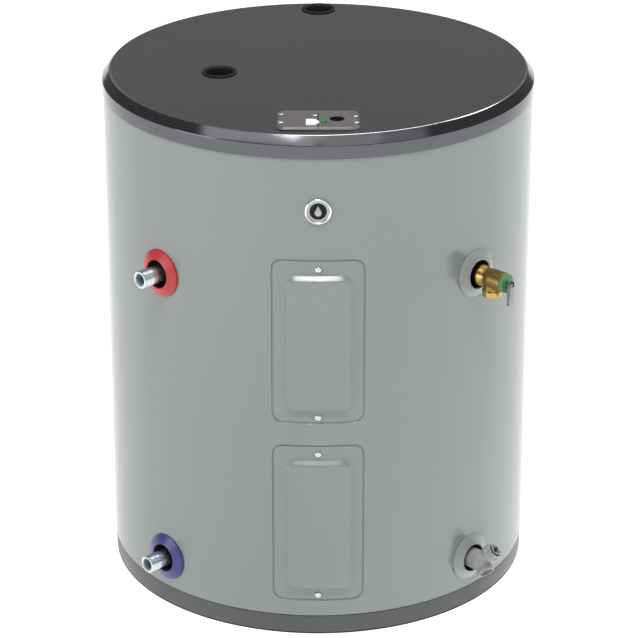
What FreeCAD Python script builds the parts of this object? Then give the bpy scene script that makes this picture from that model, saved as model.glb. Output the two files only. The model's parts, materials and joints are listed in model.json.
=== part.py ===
import FreeCAD, Part
import math
import os

# A side-connected, low-profile electric tank water heater, in millimetres.
# The origin is on the floor at the tank's axis. +Z is up, and the access covers face -Y.

V = FreeCAD.Vector
ORIGIN = V(0, 0, 0)
X_AXIS = V(1, 0, 0)
Y_AXIS = V(0, 1, 0)
Z_AXIS = V(0, 0, 1)

# ---- Casing --------------------------------------------------------------------------------------
JACKET_R = 333.4
SHEET = 1.0
GAP = 0.3                          # between pieces that move apart
JACKET_LOW = 33.0
JACKET_HIGH = 800.0
LID_TOP = 819.0
LID_SKIRT_LOW = 784.6
LID_CHAMFER_LOW = 805.0
LID_FLAT_R = 323.0
LID_THICK = 1.6
LID_SKIRT_T = 1.2
LID_R = JACKET_R + GAP + LID_SKIRT_T
LID_INSIDE = LID_TOP - LID_THICK
BASE_R = 332.6
BASE_WALL = 2.0
BASE_WALL_TOP = 54.0

# ---- Tank ----------------------------------------------------------------------------------------
TANK_R = 287.0
TANK_WALL = 2.6
TANK_LOW = BASE_WALL
TANK_SHOULDER = 728.0
TANK_TOP = 775.0
BOTTOM_HEAD_EDGE = 40.0
BOTTOM_HEAD_TOP = 66.0
FOAM_R = JACKET_R - 3.2
FOAM_LOW = 56.0
FOAM_TOP = 813.0
SLIP = 0.2                         # foam stands this far off the tank

# ---- Water connections ---------------------------------------------------------------------------
PORT_ANGLE = 45.6                  # either side of the front
UPPER_PORT_Z = 566.0
LOWER_PORT_Z = 84.0
PIPE_R = 13.335                    # 3/4 in pipe, 26.67 mm across
PIPE_SHANK_R = 13.1                # plain part, a little under the thread's crests
PIPE_BORE_R = 10.45
PIPE_PITCH = 25.4 / 14
SPUD_R = 20.0
SPUD_OUT = 300.0                   # distance from the tank's axis
SPUD_IN = 280.0
PIPE_IN = 283.0
NIPPLE_OUT = JACKET_R + 41.5
LINER_BORE_R = 9.0
DIP_TUBE_R = 8.9
DIP_TUBE_WALL = 1.4
PORT_HOLE_R = 30.0
DAM_R = 28.0
DAM_BORE_R = 22.3
DAM_OUT = JACKET_R - 7.4
RING_R = 37.5
RING_BORE_R = 22.2
RING_RISE = 8.6
RING_WALL = 1.6

# ---- Access covers -------------------------------------------------------------------------------
UPPER_COVER_Z = 494.0
LOWER_COVER_Z = 192.0
COVER_HALF_W = 67.3
COVER_HALF_H = 130.5
COVER_CORNER = 14.0
COVER_EDGE_GAP = 1.5
RECESS_DEPTH = 2.0
COVER_BACK_R = JACKET_R - RECESS_DEPTH + GAP
COVER_FACE_R = COVER_BACK_R + SHEET
RAISED_R = JACKET_R + 6.4
RAISED_HALF_W = 51.2
RAISED_LOW = -111.2                # from the cover's middle
RAISED_HIGH = 107.8
RAISED_CORNER = 15.0
RAISED_BEVEL_Z = 7.0
RAISED_BEVEL_X = 5.0
WINDOW_HALF_W = 56.0
WINDOW_LOW = -115.5
WINDOW_HIGH = 111.5
COVER_SCREW_HIGH = 118.0
COVER_SCREW_LOW = -122.7
SCREW_R = 2.0
SCREW_HOLE_R = 2.5
SCREW_HEAD_R = 4.3
SCREW_HEAD_H = 2.6
SCREW_LENGTH = 11.0
PAD_HALF_W = 44.0
PAD_LOW = -104.0
PAD_HIGH = 100.0
PAD_FRONT = 333.2
PAD_BACK = 324.2
POCKET_HALF_W = 58.0

# ---- Elements and thermostats --------------------------------------------------------------------
ELEMENT_DROP = 69.0                # element axis below the cover's middle
ELEMENT_SPUD_R = 28.0
ELEMENT_SPUD_OUT = 296.0
ELEMENT_THREAD_R = 16.6
GASKET_R = 21.0
GASKET_T = 3.0
HEX_FLATS = 38.0
HEX_T = 12.0
BLOCK_R = 14.0
BLOCK_T = 7.0
ELEMENT_FACE = ELEMENT_SPUD_OUT + GASKET_T + HEX_T + BLOCK_T
ELEMENT_TERMINAL_X = 7.0
SHEATH_R = 4.0
SHEATH_HALF_GAP = 11.0
SHEATH_REACH = 250.0
THERMOSTAT_HALF_W = 30.0
THERMOSTAT_BACK = 288.6
THERMOSTAT_FACE = 306.0
THERMOSTAT_LOW = -18.0             # from the cover's middle
DIAL_SECTION_HIGH = 38.0
CUTOUT_SECTION_HIGH = 74.0
DIAL_Z = 10.0
RESET_Z = 56.0
DIAL_R = 8.0
DIAL_T = 5.0
DIAL_SHAFT_R = 3.0
RUNNING = 0.08                     # radial clearance of a turning shaft
RESET_R = 4.0
RESET_TRAVEL = 2.5
TERMINAL_X = 20.0
TERMINAL_R = 3.0
TERMINAL_H = 2.4
WIRE_R = 1.6
WIRE_BEND = 9.0

# ---- Lid fittings --------------------------------------------------------------------------------
ANODE_XY = (-152.0, -37.0)
FOAM_PORT_XY = (0.0, 290.0)
LID_PORT_R = 25.0
GROMMET_R = 27.3
GROMMET_BORE_R = 21.5
GROMMET_RISE = 2.2
ANODE_SPUD_TOP = 778.0
ANODE_HEAD_TOP = 790.0
ANODE_R = 10.7
ANODE_LENGTH = 560.0
ANODE_FLATS = 27.0
FOAM_PLUG_TOP = 811.0
JUNCTION_X = 61.5
JUNCTION_FRONT = -304.5
JUNCTION_BACK = -225.5
JUNCTION_CORNER = 13.0
JUNCTION_RISE = 4.3
JUNCTION_BEVEL = 3.4
SPLIT_HALF = 0.5
BOX_HALF_X = 48.0
BOX_FRONT = -290.0
BOX_BACK = -234.0
BOX_FLOOR = 772.0
BOX_CORNER = 3.0
BOX_FLANGE = 12.0
KNOCKOUT_XY = (27.5, -266.0)
KNOCKOUT_R = 11.1
GROUND_XY = (9.5, -281.0)
COVER_SCREWS_XY = ((-55.5, -249.0), (-55.5, -285.0))
CENTRE_SCREW_XY = (-6.0, -253.0)
PLATE_SCREWS_XY = ((54.5, -258.0), (55.5, -286.0))

# ---- Relief valve, with lengths measured out from the jacket -------------------------------------
RELIEF_SEAT = 22.8
RELIEF_CHAMBER_END = 54.0
RELIEF_BODY_END = 57.5
RELIEF_CAP_END = 62.6
RELIEF_CHAMBER_R = 11.3
RELIEF_BORE_R = 9.5
RELIEF_STEM_R = 2.45
RELIEF_STEM_HOLE_R = 2.55
RELIEF_DISC_R = 10.4
RELIEF_DISC_T = 3.0
RELIEF_PIVOT = 69.0
RELIEF_PIN_R = 1.5
RELIEF_LIFT = 3.0
OUTLET_OFFSET = 33.0
OUTLET_R = 15.2
OUTLET_DROP = 26.5
OUTLET_BORE_R = 12.15
OUTLET_BORE_L = 15.5
LEVER_LENGTH = 33.0
LEVER_HALF_W = 4.3
LEVER_SHEET = 1.2
SPRING_MEAN_R = 6.4
SPRING_WIRE_R = 0.9
SPRING_PITCH = 4.6
PROBE_R = 4.75
PROBE_IN = 190.0

# ---- Drain valve ---------------------------------------------------------------------------------
DRAIN_CENTRE = 24.0                # middle of the valve, out from the jacket
DRAIN_ROLL = 70.0                  # the knob leans up by this angle about the shank
KNOB_ARM_ANGLE = 50.0              # the knob turns this far off the shank
OUTLET_ARM_ANGLE = 40.0            # and the outlet this far to the other side
DRAIN_BALL_R = 17.0
DRAIN_BARREL_R = 16.0
HOSE_R = 13.49
HOSE_PITCH = 25.4 / 11.5
HOSE_START = 12.0
HOSE_END = 21.0
DRAIN_BORE_R = 7.5
DRAIN_CAVITY_R = 9.5
DRAIN_SEAT = -6.0
BONNET_R = 11.8
BONNET_END = 19.0
KNOB_START = BONNET_END + 0.4
KNOB_END = 35.0
KNOB_BASE_R = 15.0
KNOB_TIP_R = 10.8
DRAIN_STEM_R = 3.4
WASHER_R = 8.6

# ---- Badge ---------------------------------------------------------------------------------------
BADGE_Z = 704.0
BADGE_R = 20.0
BADGE_FACE_R = 16.7

PORTS = {
    "hot": (-PORT_ANGLE, UPPER_PORT_Z),
    "cold": (-PORT_ANGLE, LOWER_PORT_Z),
    "relief": (PORT_ANGLE, UPPER_PORT_Z),
    "drain": (PORT_ANGLE, LOWER_PORT_Z),
}
COVER_CENTRES = {"upper": UPPER_COVER_Z, "lower": LOWER_COVER_Z}


# ---- Basic shapes --------------------------------------------------------------------------------
def cylinder(radius, low, high, x=0.0, y=0.0):
    """Upright cylinder between two heights."""
    return Part.makeCylinder(radius, high - low, V(x, y, low))


def tube(outer, inner, low, high, x=0.0, y=0.0):
    return cylinder(outer, low, high, x, y).cut(cylinder(inner, low - 1, high + 1, x, y))


def block(x_range, y_range, z_range):
    size = [pair[1] - pair[0] for pair in (x_range, y_range, z_range)]
    return Part.makeBox(*size, V(x_range[0], y_range[0], z_range[0]))


def turned(profile):
    """Solid of revolution about Z from a closed outline of (radius, height) points."""
    points = [V(radius, 0, height) for radius, height in profile]
    outline = Part.makePolygon(points + points[:1])
    return Part.Face(outline).revolve(ORIGIN, Z_AXIS, 360)


def hexagon(flats, low, high):
    corner_r = flats / math.sqrt(3)
    points = [V(corner_r * math.cos(math.radians(60 * i)),
                corner_r * math.sin(math.radians(60 * i)), low) for i in range(7)]
    return Part.Face(Part.makePolygon(points)).extrude(V(0, 0, high - low))


def union(shapes):
    joined = shapes[0].multiFuse(list(shapes[1:]))
    return joined.removeSplitter()


def cut_all(shape, tools):
    return shape.cut(list(tools))


def edges_along(shape, direction):
    """Straight edges parallel to a direction."""
    found = []
    for edge in shape.Edges:
        if isinstance(edge.Curve, Part.Line):
            if edge.Curve.Direction.cross(direction).Length < 1e-6:
                found.append(edge)
    return found


def rounded(shape, radius, direction):
    return shape.makeFillet(radius, edges_along(shape, direction))


def moved(shape, x=0.0, y=0.0, z=0.0):
    copy = shape.copy()
    copy.translate(V(x, y, z))
    return copy


def turned_about(shape, axis, angle, centre=ORIGIN):
    copy = shape.copy()
    copy.rotate(centre, axis, angle)
    return copy


def to_front(shape, height=0.0):
    """Turn a shape built up the Z axis so that it points out of the front, towards -Y."""
    return moved(turned_about(shape, X_AXIS, 90), z=height)


def to_radial(shape):
    """Turn a shape built up the Z axis so that it points along +X."""
    return turned_about(shape, Y_AXIS, 90)


def at_port(shape, port):
    """Swing a shape that points along +X round to a port, and lift it to the port's height."""
    angle, height = PORTS[port]
    return moved(turned_about(shape, Z_AXIS, angle - 90), z=height)


def thread_profile(radius, start, end, pitch, depth):
    """Outline points of a cut thread, from start to end: a flat crest, then a vee, repeated."""
    turns = int((end - start) / pitch)
    crest = pitch * 0.55
    points = []
    for i in range(turns):
        low = start + i * pitch
        points += [(radius, low), (radius, low + crest), (radius - depth, low + (crest + pitch) / 2)]
    points += [(radius, start + turns * pitch), (radius, end)]
    return points


def swept_round(points, radius, bend):
    """Round bar along straight runs joined by tangent arcs of one bend radius."""
    edges = []
    start = points[0]
    for before, corner, after in zip(points, points[1:], points[2:]):
        arriving = (corner - before).normalize()
        leaving = (after - corner).normalize()
        turn = arriving.getAngle(leaving)
        setback = bend * math.tan(turn / 2)
        arc_start = corner - arriving * setback
        arc_end = corner + leaving * setback
        inward = (leaving - arriving).normalize()
        to_centre = bend / math.cos(turn / 2)
        middle = corner + inward * (to_centre - bend)
        edges.append(Part.LineSegment(start, arc_start).toShape())
        edges.append(Part.Arc(arc_start, middle, arc_end).toShape())
        start = arc_end
    edges.append(Part.LineSegment(start, points[-1]).toShape())
    path = Part.Wire(edges)
    first = (points[1] - points[0]).normalize()
    section = Part.Wire(Part.makeCircle(radius, points[0], first))
    bar = path.makePipeShell([section], True, False)
    expected = math.pi * radius ** 2 * path.Length
    assert abs(bar.Volume - expected) < 0.01 * expected, "swept bar has the wrong volume"
    return bar


# ---- Sheet-metal helpers -------------------------------------------------------------------------
def front_prism(half_width, low, high, corner):
    """Upright rounded rectangle, seen from the front, that runs back past the tank's front."""
    prism = block((-half_width, half_width), (-JACKET_R - 40, -TANK_R / 2), (low, high))
    return rounded(prism, corner, Y_AXIS)


def curved_panel(inner_r, outer_r, half_width, low, high, corner):
    """Part of an upright cylindrical shell, cut to a rounded rectangle on the front."""
    return tube(outer_r, inner_r, low, high).common(front_prism(half_width, low, high, corner))


def radial_hole(radius, port, start=SPUD_IN - 20, end=JACKET_R + 20):
    return at_port(to_radial(cylinder(radius, start, end)), port)


def pan_screw(length):
    """Pan-head screw along Z, with its head's underside at zero."""
    head = turned([(0, 0), (SCREW_HEAD_R, 0), (SCREW_HEAD_R, 0.5 * SCREW_HEAD_H),
                   (0.75 * SCREW_HEAD_R, 0.9 * SCREW_HEAD_H), (0, SCREW_HEAD_H)])
    shank = cylinder(SCREW_R, -length, 0.1)
    slot_half = 0.5
    reach = 0.62 * SCREW_HEAD_R
    depth = (SCREW_HEAD_H - 1.3, SCREW_HEAD_H + 1)
    slots = [block((-reach, reach), (-slot_half, slot_half), depth),
             block((-slot_half, slot_half), (-reach, reach), depth)]
    return cut_all(union([head, shank]), slots)


# ---- Casing --------------------------------------------------------------------------------------
def jacket():
    shell = tube(JACKET_R, JACKET_R - SHEET, JACKET_LOW, JACKET_HIGH)
    pans = []
    holes = [radial_hole(PORT_HOLE_R, port) for port in PORTS]
    for middle in COVER_CENTRES.values():
        grow = COVER_EDGE_GAP
        low = middle - COVER_HALF_H - grow
        high = middle + COVER_HALF_H + grow
        pans.append(curved_panel(JACKET_R - RECESS_DEPTH - SHEET, JACKET_R - SHEET / 2,
                                 COVER_HALF_W + grow + SHEET, low - SHEET, high + SHEET,
                                 COVER_CORNER + grow + SHEET))
        holes.append(curved_panel(JACKET_R - RECESS_DEPTH, JACKET_R + 1, COVER_HALF_W + grow,
                                  low, high, COVER_CORNER + grow))
        holes.append(front_prism(WINDOW_HALF_W, middle + WINDOW_LOW, middle + WINDOW_HIGH, 8))
        for screw_z in (COVER_SCREW_HIGH, COVER_SCREW_LOW):
            holes.append(to_front(cylinder(SCREW_HOLE_R, TANK_R, JACKET_R + 5), middle + screw_z))
    return cut_all(union([shell] + pans), holes)


def lid():
    edge_r = LID_R - LID_SKIRT_T
    outline = [(0, LID_TOP), (LID_FLAT_R, LID_TOP), (LID_R, LID_CHAMFER_LOW),
               (LID_R, LID_SKIRT_LOW), (edge_r, LID_SKIRT_LOW), (edge_r, LID_CHAMFER_LOW - 0.6),
               (LID_FLAT_R - 0.7, LID_INSIDE), (0, LID_INSIDE)]
    shape = turned(outline)
    flat_edge = [e for e in shape.Edges if isinstance(e.Curve, Part.Circle)
                 and abs(e.Curve.Radius - LID_FLAT_R) < 0.01 and abs(e.Curve.Center.z - LID_TOP) < 0.01]
    shape = shape.makeFillet(3.0, flat_edge)
    openings = [cylinder(LID_PORT_R, LID_INSIDE - 5, LID_TOP + 5, *place)
                for place in (ANODE_XY, FOAM_PORT_XY)]
    mouth = block((-BOX_HALF_X, BOX_HALF_X), (BOX_FRONT, BOX_BACK), (LID_INSIDE - 5, LID_TOP + 5))
    openings.append(rounded(mouth, BOX_CORNER, Z_AXIS))
    for place in COVER_SCREWS_XY + PLATE_SCREWS_XY:
        openings.append(cylinder(SCREW_HOLE_R, LID_INSIDE - 5, LID_TOP + 5, *place))
    return cut_all(shape, openings)


def base_pan():
    inner = JACKET_R - SHEET - GAP
    outline = [(0, 0), (BASE_R - 5, 0), (BASE_R - 1.5, 1.5), (BASE_R, 5), (BASE_R, JACKET_LOW),
               (inner, JACKET_LOW), (inner, BASE_WALL_TOP), (inner - BASE_WALL, BASE_WALL_TOP),
               (inner - BASE_WALL, BASE_WALL), (0, BASE_WALL)]
    return turned(outline)


def tank_body(radius, low, shoulder, top):
    """Upright cylinder with a shallow domed top."""
    rise = top - shoulder
    dome_r = (radius ** 2 + rise ** 2) / (2 * rise)
    dome = Part.makeSphere(dome_r, V(0, 0, top - dome_r))
    dome = dome.common(cylinder(radius, shoulder - 1, top + 1))
    return union([cylinder(radius, low, shoulder), dome])


def dished_plate(radius, edge_z, top_z, thickness):
    rise = top_z - edge_z
    dish_r = (radius ** 2 + rise ** 2) / (2 * rise)
    centre = V(0, 0, top_z - dish_r)
    skin = Part.makeSphere(dish_r, centre).cut(Part.makeSphere(dish_r - thickness, centre))
    return skin.common(cylinder(radius, edge_z - 20, top_z + 5))


def inner_tank():
    wall = TANK_WALL
    outside = tank_body(TANK_R, TANK_LOW, TANK_SHOULDER, TANK_TOP)
    inside = tank_body(TANK_R - wall, TANK_LOW - 1, TANK_SHOULDER, TANK_TOP - wall)
    bottom = dished_plate(TANK_R - wall / 2, BOTTOM_HEAD_EDGE, BOTTOM_HEAD_TOP, wall)
    shell = union([outside.cut(inside), bottom])
    holes = [radial_hole(SPUD_R, port, TANK_R - 30, TANK_R + 10) for port in PORTS]
    for middle in COVER_CENTRES.values():
        holes.append(to_front(cylinder(ELEMENT_SPUD_R, TANK_R - 30, TANK_R + 10), middle - ELEMENT_DROP))
    holes.append(cylinder(PIPE_R + 5, 740, 800, *ANODE_XY))
    return cut_all(shell, holes)


def tank_spuds():
    spuds = []
    for port in PORTS:
        spuds.append(at_port(to_radial(tube(SPUD_R, PIPE_SHANK_R, SPUD_IN, SPUD_OUT)), port))
    for middle in COVER_CENTRES.values():
        ring = tube(ELEMENT_SPUD_R, ELEMENT_THREAD_R, SPUD_IN, ELEMENT_SPUD_OUT)
        spuds.append(to_front(ring, middle - ELEMENT_DROP))
    spuds.append(tube(PIPE_R + 5, PIPE_SHANK_R, 752, ANODE_SPUD_TOP, *ANODE_XY))
    return Part.makeCompound(spuds)


def foam_insulation():
    shoulder = JACKET_HIGH - 2
    outside = turned([(0, FOAM_LOW), (FOAM_R, FOAM_LOW), (FOAM_R, shoulder),
                      (LID_FLAT_R - 6, FOAM_TOP), (0, FOAM_TOP)])
    hollow = tank_body(TANK_R + SLIP, FOAM_LOW - 1, TANK_SHOULDER, TANK_TOP + SLIP)
    cuts = [hollow]
    for port in PORTS:
        cuts.append(radial_hole(DAM_R + SLIP, port))
    pocket_y = (-JACKET_R - 5, -TANK_R + 10)
    for middle in COVER_CENTRES.values():
        cuts.append(block((-POCKET_HALF_W, POCKET_HALF_W), pocket_y,
                          (middle + WINDOW_LOW - 4, middle + WINDOW_HIGH + 4)))
        for screw_z in (COVER_SCREW_HIGH, COVER_SCREW_LOW):
            cuts.append(to_front(cylinder(SCREW_R + 2, COVER_FACE_R - SCREW_LENGTH - 3, JACKET_R),
                                 middle + screw_z))
    channel_x = (-20, 20)
    cuts.append(block(channel_x, (-320, -262), (UPPER_COVER_Z, BOX_FLOOR)))
    cuts.append(block(channel_x, (-313, -TANK_R + 10), (LOWER_COVER_Z, UPPER_COVER_Z)))
    flange = BOX_FLANGE + 2
    cuts.append(block((-BOX_HALF_X - flange, BOX_HALF_X + flange),
                      (BOX_FRONT - flange, BOX_BACK + flange), (BOX_FLOOR - 1, FOAM_TOP + 5)))
    for x, y in (ANODE_XY, FOAM_PORT_XY):
        cuts.append(cylinder(GROMMET_R, ANODE_SPUD_TOP - 22, FOAM_TOP + 5, x, y))
    return cut_all(outside, cuts)


# ---- Water connections ---------------------------------------------------------------------------
def nipple(port):
    thread_start = NIPPLE_OUT - 20
    outline = [(PIPE_BORE_R, PIPE_IN), (PIPE_SHANK_R, PIPE_IN), (PIPE_SHANK_R, thread_start)]
    outline += thread_profile(PIPE_R, thread_start, NIPPLE_OUT - 0.8, PIPE_PITCH, 0.8)
    outline += [(PIPE_R - 0.8, NIPPLE_OUT), (PIPE_BORE_R, NIPPLE_OUT)]
    return at_port(to_radial(turned(outline)), port)


def nipple_liners():
    liner = tube(PIPE_BORE_R, LINER_BORE_R, PIPE_IN, NIPPLE_OUT - 0.6)
    return Part.makeCompound([at_port(to_radial(liner), port) for port in ("hot", "cold")])


def hot_outlet_tube():
    """Tube that draws the hottest water from just under the tank's top."""
    path = [V(PIPE_IN + 6, 0, 0), V(246, 0, 0), V(246, 0, TANK_SHOULDER + 6 - UPPER_PORT_Z)]
    outer = swept_round(path, DIP_TUBE_R, 22)
    inner = swept_round(path, DIP_TUBE_R - DIP_TUBE_WALL, 22)
    return at_port(outer.cut(inner), "hot")


def cold_inlet_diffuser():
    """Closed tube with side slots that lets the cold water in gently."""
    start = 120.0
    shape = cylinder(DIP_TUBE_R, start, PIPE_IN + 6)
    shape = shape.cut(cylinder(DIP_TUBE_R - DIP_TUBE_WALL, start + 3, PIPE_IN + 10))
    slots = []
    for i in range(6):
        low = start + 10 + 18 * i
        slots.append(block((-DIP_TUBE_R - 1, 0), (-2.5, 2.5), (low, low + 10)))
    return at_port(to_radial(cut_all(shape, slots)), "cold")


def escutcheon(port):
    """Shallow cone that covers the hole in the jacket, with a collar down into the hole."""
    face = JACKET_R
    cone = [(RING_R, face - 4), (RING_R, face + 0.9), (RING_R - 0.9, face + 1.9),
            (RING_BORE_R + 2.2, face + RING_RISE), (RING_BORE_R + 0.8, face + RING_RISE),
            (RING_BORE_R, face + RING_RISE - 0.8), (RING_BORE_R, face + 2),
            (RING_BORE_R + RING_WALL, face + 2), (RING_BORE_R + RING_WALL, face + RING_RISE - 2.6),
            (RING_R - 2.6, face + 0.2), (RING_R - RING_WALL, face - 4)]
    dome = at_port(to_radial(turned(cone)), port).cut(cylinder(JACKET_R, 0, LID_TOP))
    collar = tube(RING_BORE_R + RING_WALL, RING_BORE_R, face - 6, face + 4)
    return union([dome, at_port(to_radial(collar), port)])


def port_foam_dams():
    """Foam sleeves that keep the poured foam out of the four side openings."""
    tank = cylinder(TANK_R + SLIP, 0, LID_TOP)
    dam = to_radial(tube(DAM_R, DAM_BORE_R, TANK_R - 10, DAM_OUT))
    return Part.makeCompound([at_port(dam, port).cut(tank) for port in PORTS])


# ---- Relief valve --------------------------------------------------------------------------------
def relief_valve_body():
    face = JACKET_R
    outline = [(0, PIPE_IN), (PIPE_SHANK_R, PIPE_IN), (PIPE_SHANK_R, face + 9), (16.8, face + 9),
               (18.2, face + 10.6), (18.2, face + 15), (16.4, face + 19.5), (14.4, face + 22.8),
               (14.1, face + 24.5), (14.9, face + 29), (15.6, face + 36), (15.4, face + 48),
               (15.3, face + RELIEF_BODY_END), (0, face + RELIEF_BODY_END)]
    barrel = to_radial(turned(outline))
    spout = turned([(0, 0), (13.4, 0), (13.6, -13), (14.4, -16.5), (OUTLET_R, -18),
                    (OUTLET_R, -OUTLET_DROP + 0.8), (OUTLET_R - 0.8, -OUTLET_DROP), (0, -OUTLET_DROP)])
    spout_x = face + OUTLET_OFFSET
    solid = union([barrel, moved(spout, x=spout_x)])
    bore_end = -OUTLET_DROP + OUTLET_BORE_L
    cuts = [to_radial(cylinder(RELIEF_BORE_R, PIPE_IN - 1, face + 20)),
            to_radial(cylinder(RELIEF_BORE_R - 2.5, face + 19, face + RELIEF_SEAT + 1)),
            to_radial(cylinder(RELIEF_CHAMBER_R, face + RELIEF_SEAT, face + RELIEF_CHAMBER_END)),
            to_radial(cylinder(RELIEF_STEM_HOLE_R, face + 50, face + RELIEF_BODY_END + 1)),
            cylinder(OUTLET_BORE_R, -OUTLET_DROP - 1, bore_end, x=spout_x),
            cylinder(RELIEF_BORE_R - 1.5, bore_end - 1, 0, x=spout_x)]
    return at_port(cut_all(solid, cuts), "relief")


def relief_valve_cap():
    face = JACKET_R
    rim = 14.6
    outline = [(RELIEF_STEM_HOLE_R, face + RELIEF_BODY_END), (rim, face + RELIEF_BODY_END),
               (rim, face + RELIEF_CAP_END - 1.4), (rim - 1.4, face + RELIEF_CAP_END),
               (RELIEF_STEM_HOLE_R, face + RELIEF_CAP_END)]
    return at_port(to_radial(turned(outline)), "relief")


def relief_disc():
    low = JACKET_R + RELIEF_SEAT + GAP
    return at_port(to_radial(cylinder(RELIEF_DISC_R, low, low + RELIEF_DISC_T)), "relief")


def relief_stem():
    low = JACKET_R + RELIEF_SEAT + GAP + RELIEF_DISC_T
    stem = to_radial(cylinder(RELIEF_STEM_R, low, JACKET_R + RELIEF_PIVOT + 3))
    return at_port(stem.cut(relief_pin_bar(RELIEF_STEM_R + 2)), "relief")


def relief_pin_bar(half_length):
    """Crosswise pin through the pivot of the test lever, in the port's own frame."""
    centre = V(JACKET_R + RELIEF_PIVOT, -half_length, 0)
    return Part.makeCylinder(RELIEF_PIN_R, 2 * half_length, centre, Y_AXIS)


def relief_lever_pin():
    return at_port(relief_pin_bar(LEVER_HALF_W + 1.3), "relief")


def relief_spring():
    low = JACKET_R + RELIEF_SEAT + GAP + RELIEF_DISC_T + SPRING_WIRE_R + 0.1
    high = JACKET_R + RELIEF_CHAMBER_END - RELIEF_LIFT - SPRING_WIRE_R - GAP
    helix = Part.makeHelix(SPRING_PITCH, high - low, SPRING_MEAN_R)
    section = Part.Wire(Part.makeCircle(SPRING_WIRE_R, V(SPRING_MEAN_R, 0, 0), Y_AXIS))
    coil = Part.Wire(helix).makePipeShell([section], True, True)
    return at_port(to_radial(moved(coil, z=low)), "relief")


def relief_probe():
    """Heat-sensing rod that reaches into the tank, held by a holed collar in the valve's bore."""
    collar_low = JACKET_R + 8
    collar = cylinder(RELIEF_BORE_R, collar_low, collar_low + 5)
    ports = []
    for i in range(4):
        around = math.radians(90 * i + 45)
        ports.append(cylinder(1.5, collar_low - 1, collar_low + 6,
                              7.1 * math.cos(around), 7.1 * math.sin(around)))
    rod = cylinder(PROBE_R, PROBE_IN, collar_low + 1)
    return at_port(to_radial(union([cut_all(collar, ports), rod])), "relief")


def relief_lever():
    """Channel lever that hangs from the pin, with its back on the outer side."""
    pivot = JACKET_R + RELIEF_PIVOT
    side = [(-3.4, 4.0), (2.6, 4.6), (4.4, 2.0), (4.4, -6.0), (1.6, -LEVER_LENGTH),
            (-3.4, -LEVER_LENGTH), (-3.0, -6.0)]
    corners = [V(pivot + x, -LEVER_HALF_W, z) for x, z in side]
    plate = Part.Face(Part.makePolygon(corners + corners[:1])).extrude(V(0, 2 * LEVER_HALF_W, 0))
    hollow_side = [(-9, 12), (9, 12), (9, -1.4), (4.4 - LEVER_SHEET, -2.8), (4.4 - LEVER_SHEET, -6.2),
                   (1.6 - LEVER_SHEET, -LEVER_LENGTH - 3), (-9, -LEVER_LENGTH - 3)]
    half = LEVER_HALF_W - LEVER_SHEET
    corners = [V(pivot + x, -half, z) for x, z in hollow_side]
    hollow = Part.Face(Part.makePolygon(corners + corners[:1])).extrude(V(0, 2 * half, 0))
    eye = Part.makeCylinder(RELIEF_PIN_R + RUNNING, 20, V(pivot, -10, 0), Y_AXIS)
    return at_port(cut_all(plate, [hollow, eye]), "relief")


# ---- Drain valve ---------------------------------------------------------------------------------
def on_drain_arm(shape, side):
    """Place a shape built up the Z axis on the knob arm (side +1) or the outlet arm (side -1)."""
    angle = KNOB_ARM_ANGLE if side > 0 else -OUTLET_ARM_ANGLE
    arm = turned_about(to_radial(shape), Z_AXIS, angle)
    rolled = turned_about(arm, X_AXIS, DRAIN_ROLL)
    return at_port(moved(rolled, x=JACKET_R + DRAIN_CENTRE), "drain")


def drain_valve_body():
    face = JACKET_R
    shank = at_port(to_radial(union([cylinder(PIPE_SHANK_R, PIPE_IN, face - 8),
                                     cylinder(DRAIN_BARREL_R, face - 8.5, face + DRAIN_CENTRE - 7)])),
                    "drain")
    ball = on_drain_arm(Part.makeSphere(DRAIN_BALL_R), 1)
    hose = thread_profile(HOSE_R, HOSE_START, HOSE_END - 1, HOSE_PITCH, 1.1)
    spout = turned([(0, 0), (HOSE_R - 1.5, 0), (HOSE_R - 1.5, HOSE_START)] + hose
                   + [(HOSE_R - 1, HOSE_END), (0, HOSE_END)])
    bonnet = turned([(0, 0), (BONNET_R, 0), (BONNET_R, BONNET_END - 1), (BONNET_R - 1, BONNET_END),
                     (0, BONNET_END)])
    solid = union([shank, ball, on_drain_arm(spout, -1), on_drain_arm(bonnet, 1)])
    cuts = [at_port(to_radial(cylinder(DRAIN_BORE_R, PIPE_IN - 1, face + DRAIN_CENTRE - 13)), "drain"),
            on_drain_arm(cylinder(5.5, -13, DRAIN_SEAT + 1), 1),
            on_drain_arm(cylinder(DRAIN_CAVITY_R, DRAIN_SEAT, 11), 1),
            on_drain_arm(cylinder(DRAIN_STEM_R + RUNNING, 10, BONNET_END + 1), 1),
            on_drain_arm(cylinder(DRAIN_BORE_R, 0, HOSE_END + 1), -1),
            on_drain_arm(cylinder(DRAIN_BORE_R + 3, HOSE_END - 9, HOSE_END + 1), -1)]
    return cut_all(solid, cuts)


def drain_washer():
    return on_drain_arm(cylinder(WASHER_R, DRAIN_SEAT + 0.2, DRAIN_SEAT + 3.1), 1)


def drain_stem():
    return on_drain_arm(cylinder(DRAIN_STEM_R, DRAIN_SEAT + 3.4, KNOB_END - 6), 1)


def drain_knob():
    """Fluted cone with a driver recess in its end."""
    outline = [(0, KNOB_START), (KNOB_BASE_R - 1, KNOB_START), (KNOB_BASE_R, KNOB_START + 1),
               (KNOB_BASE_R, KNOB_START + 6), (KNOB_TIP_R, KNOB_END - 1),
               (KNOB_TIP_R - 1, KNOB_END), (0, KNOB_END)]
    cone = turned(outline)
    cuts = [cylinder(DRAIN_STEM_R, KNOB_START - 1, KNOB_END - 6)]
    for i in range(4):
        around = math.radians(90 * i + 45)
        reach = KNOB_BASE_R + 2.2
        cuts.append(cylinder(5.2, KNOB_START + 5, KNOB_END + 1,
                             reach * math.cos(around), reach * math.sin(around)))
    recess = (KNOB_END - 4.5, KNOB_END + 1)
    cuts.append(block((-7, 7), (-2, 2), recess))
    cuts.append(block((-2, 2), (-7, 7), recess))
    return on_drain_arm(cut_all(cone, cuts), 1)


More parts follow.
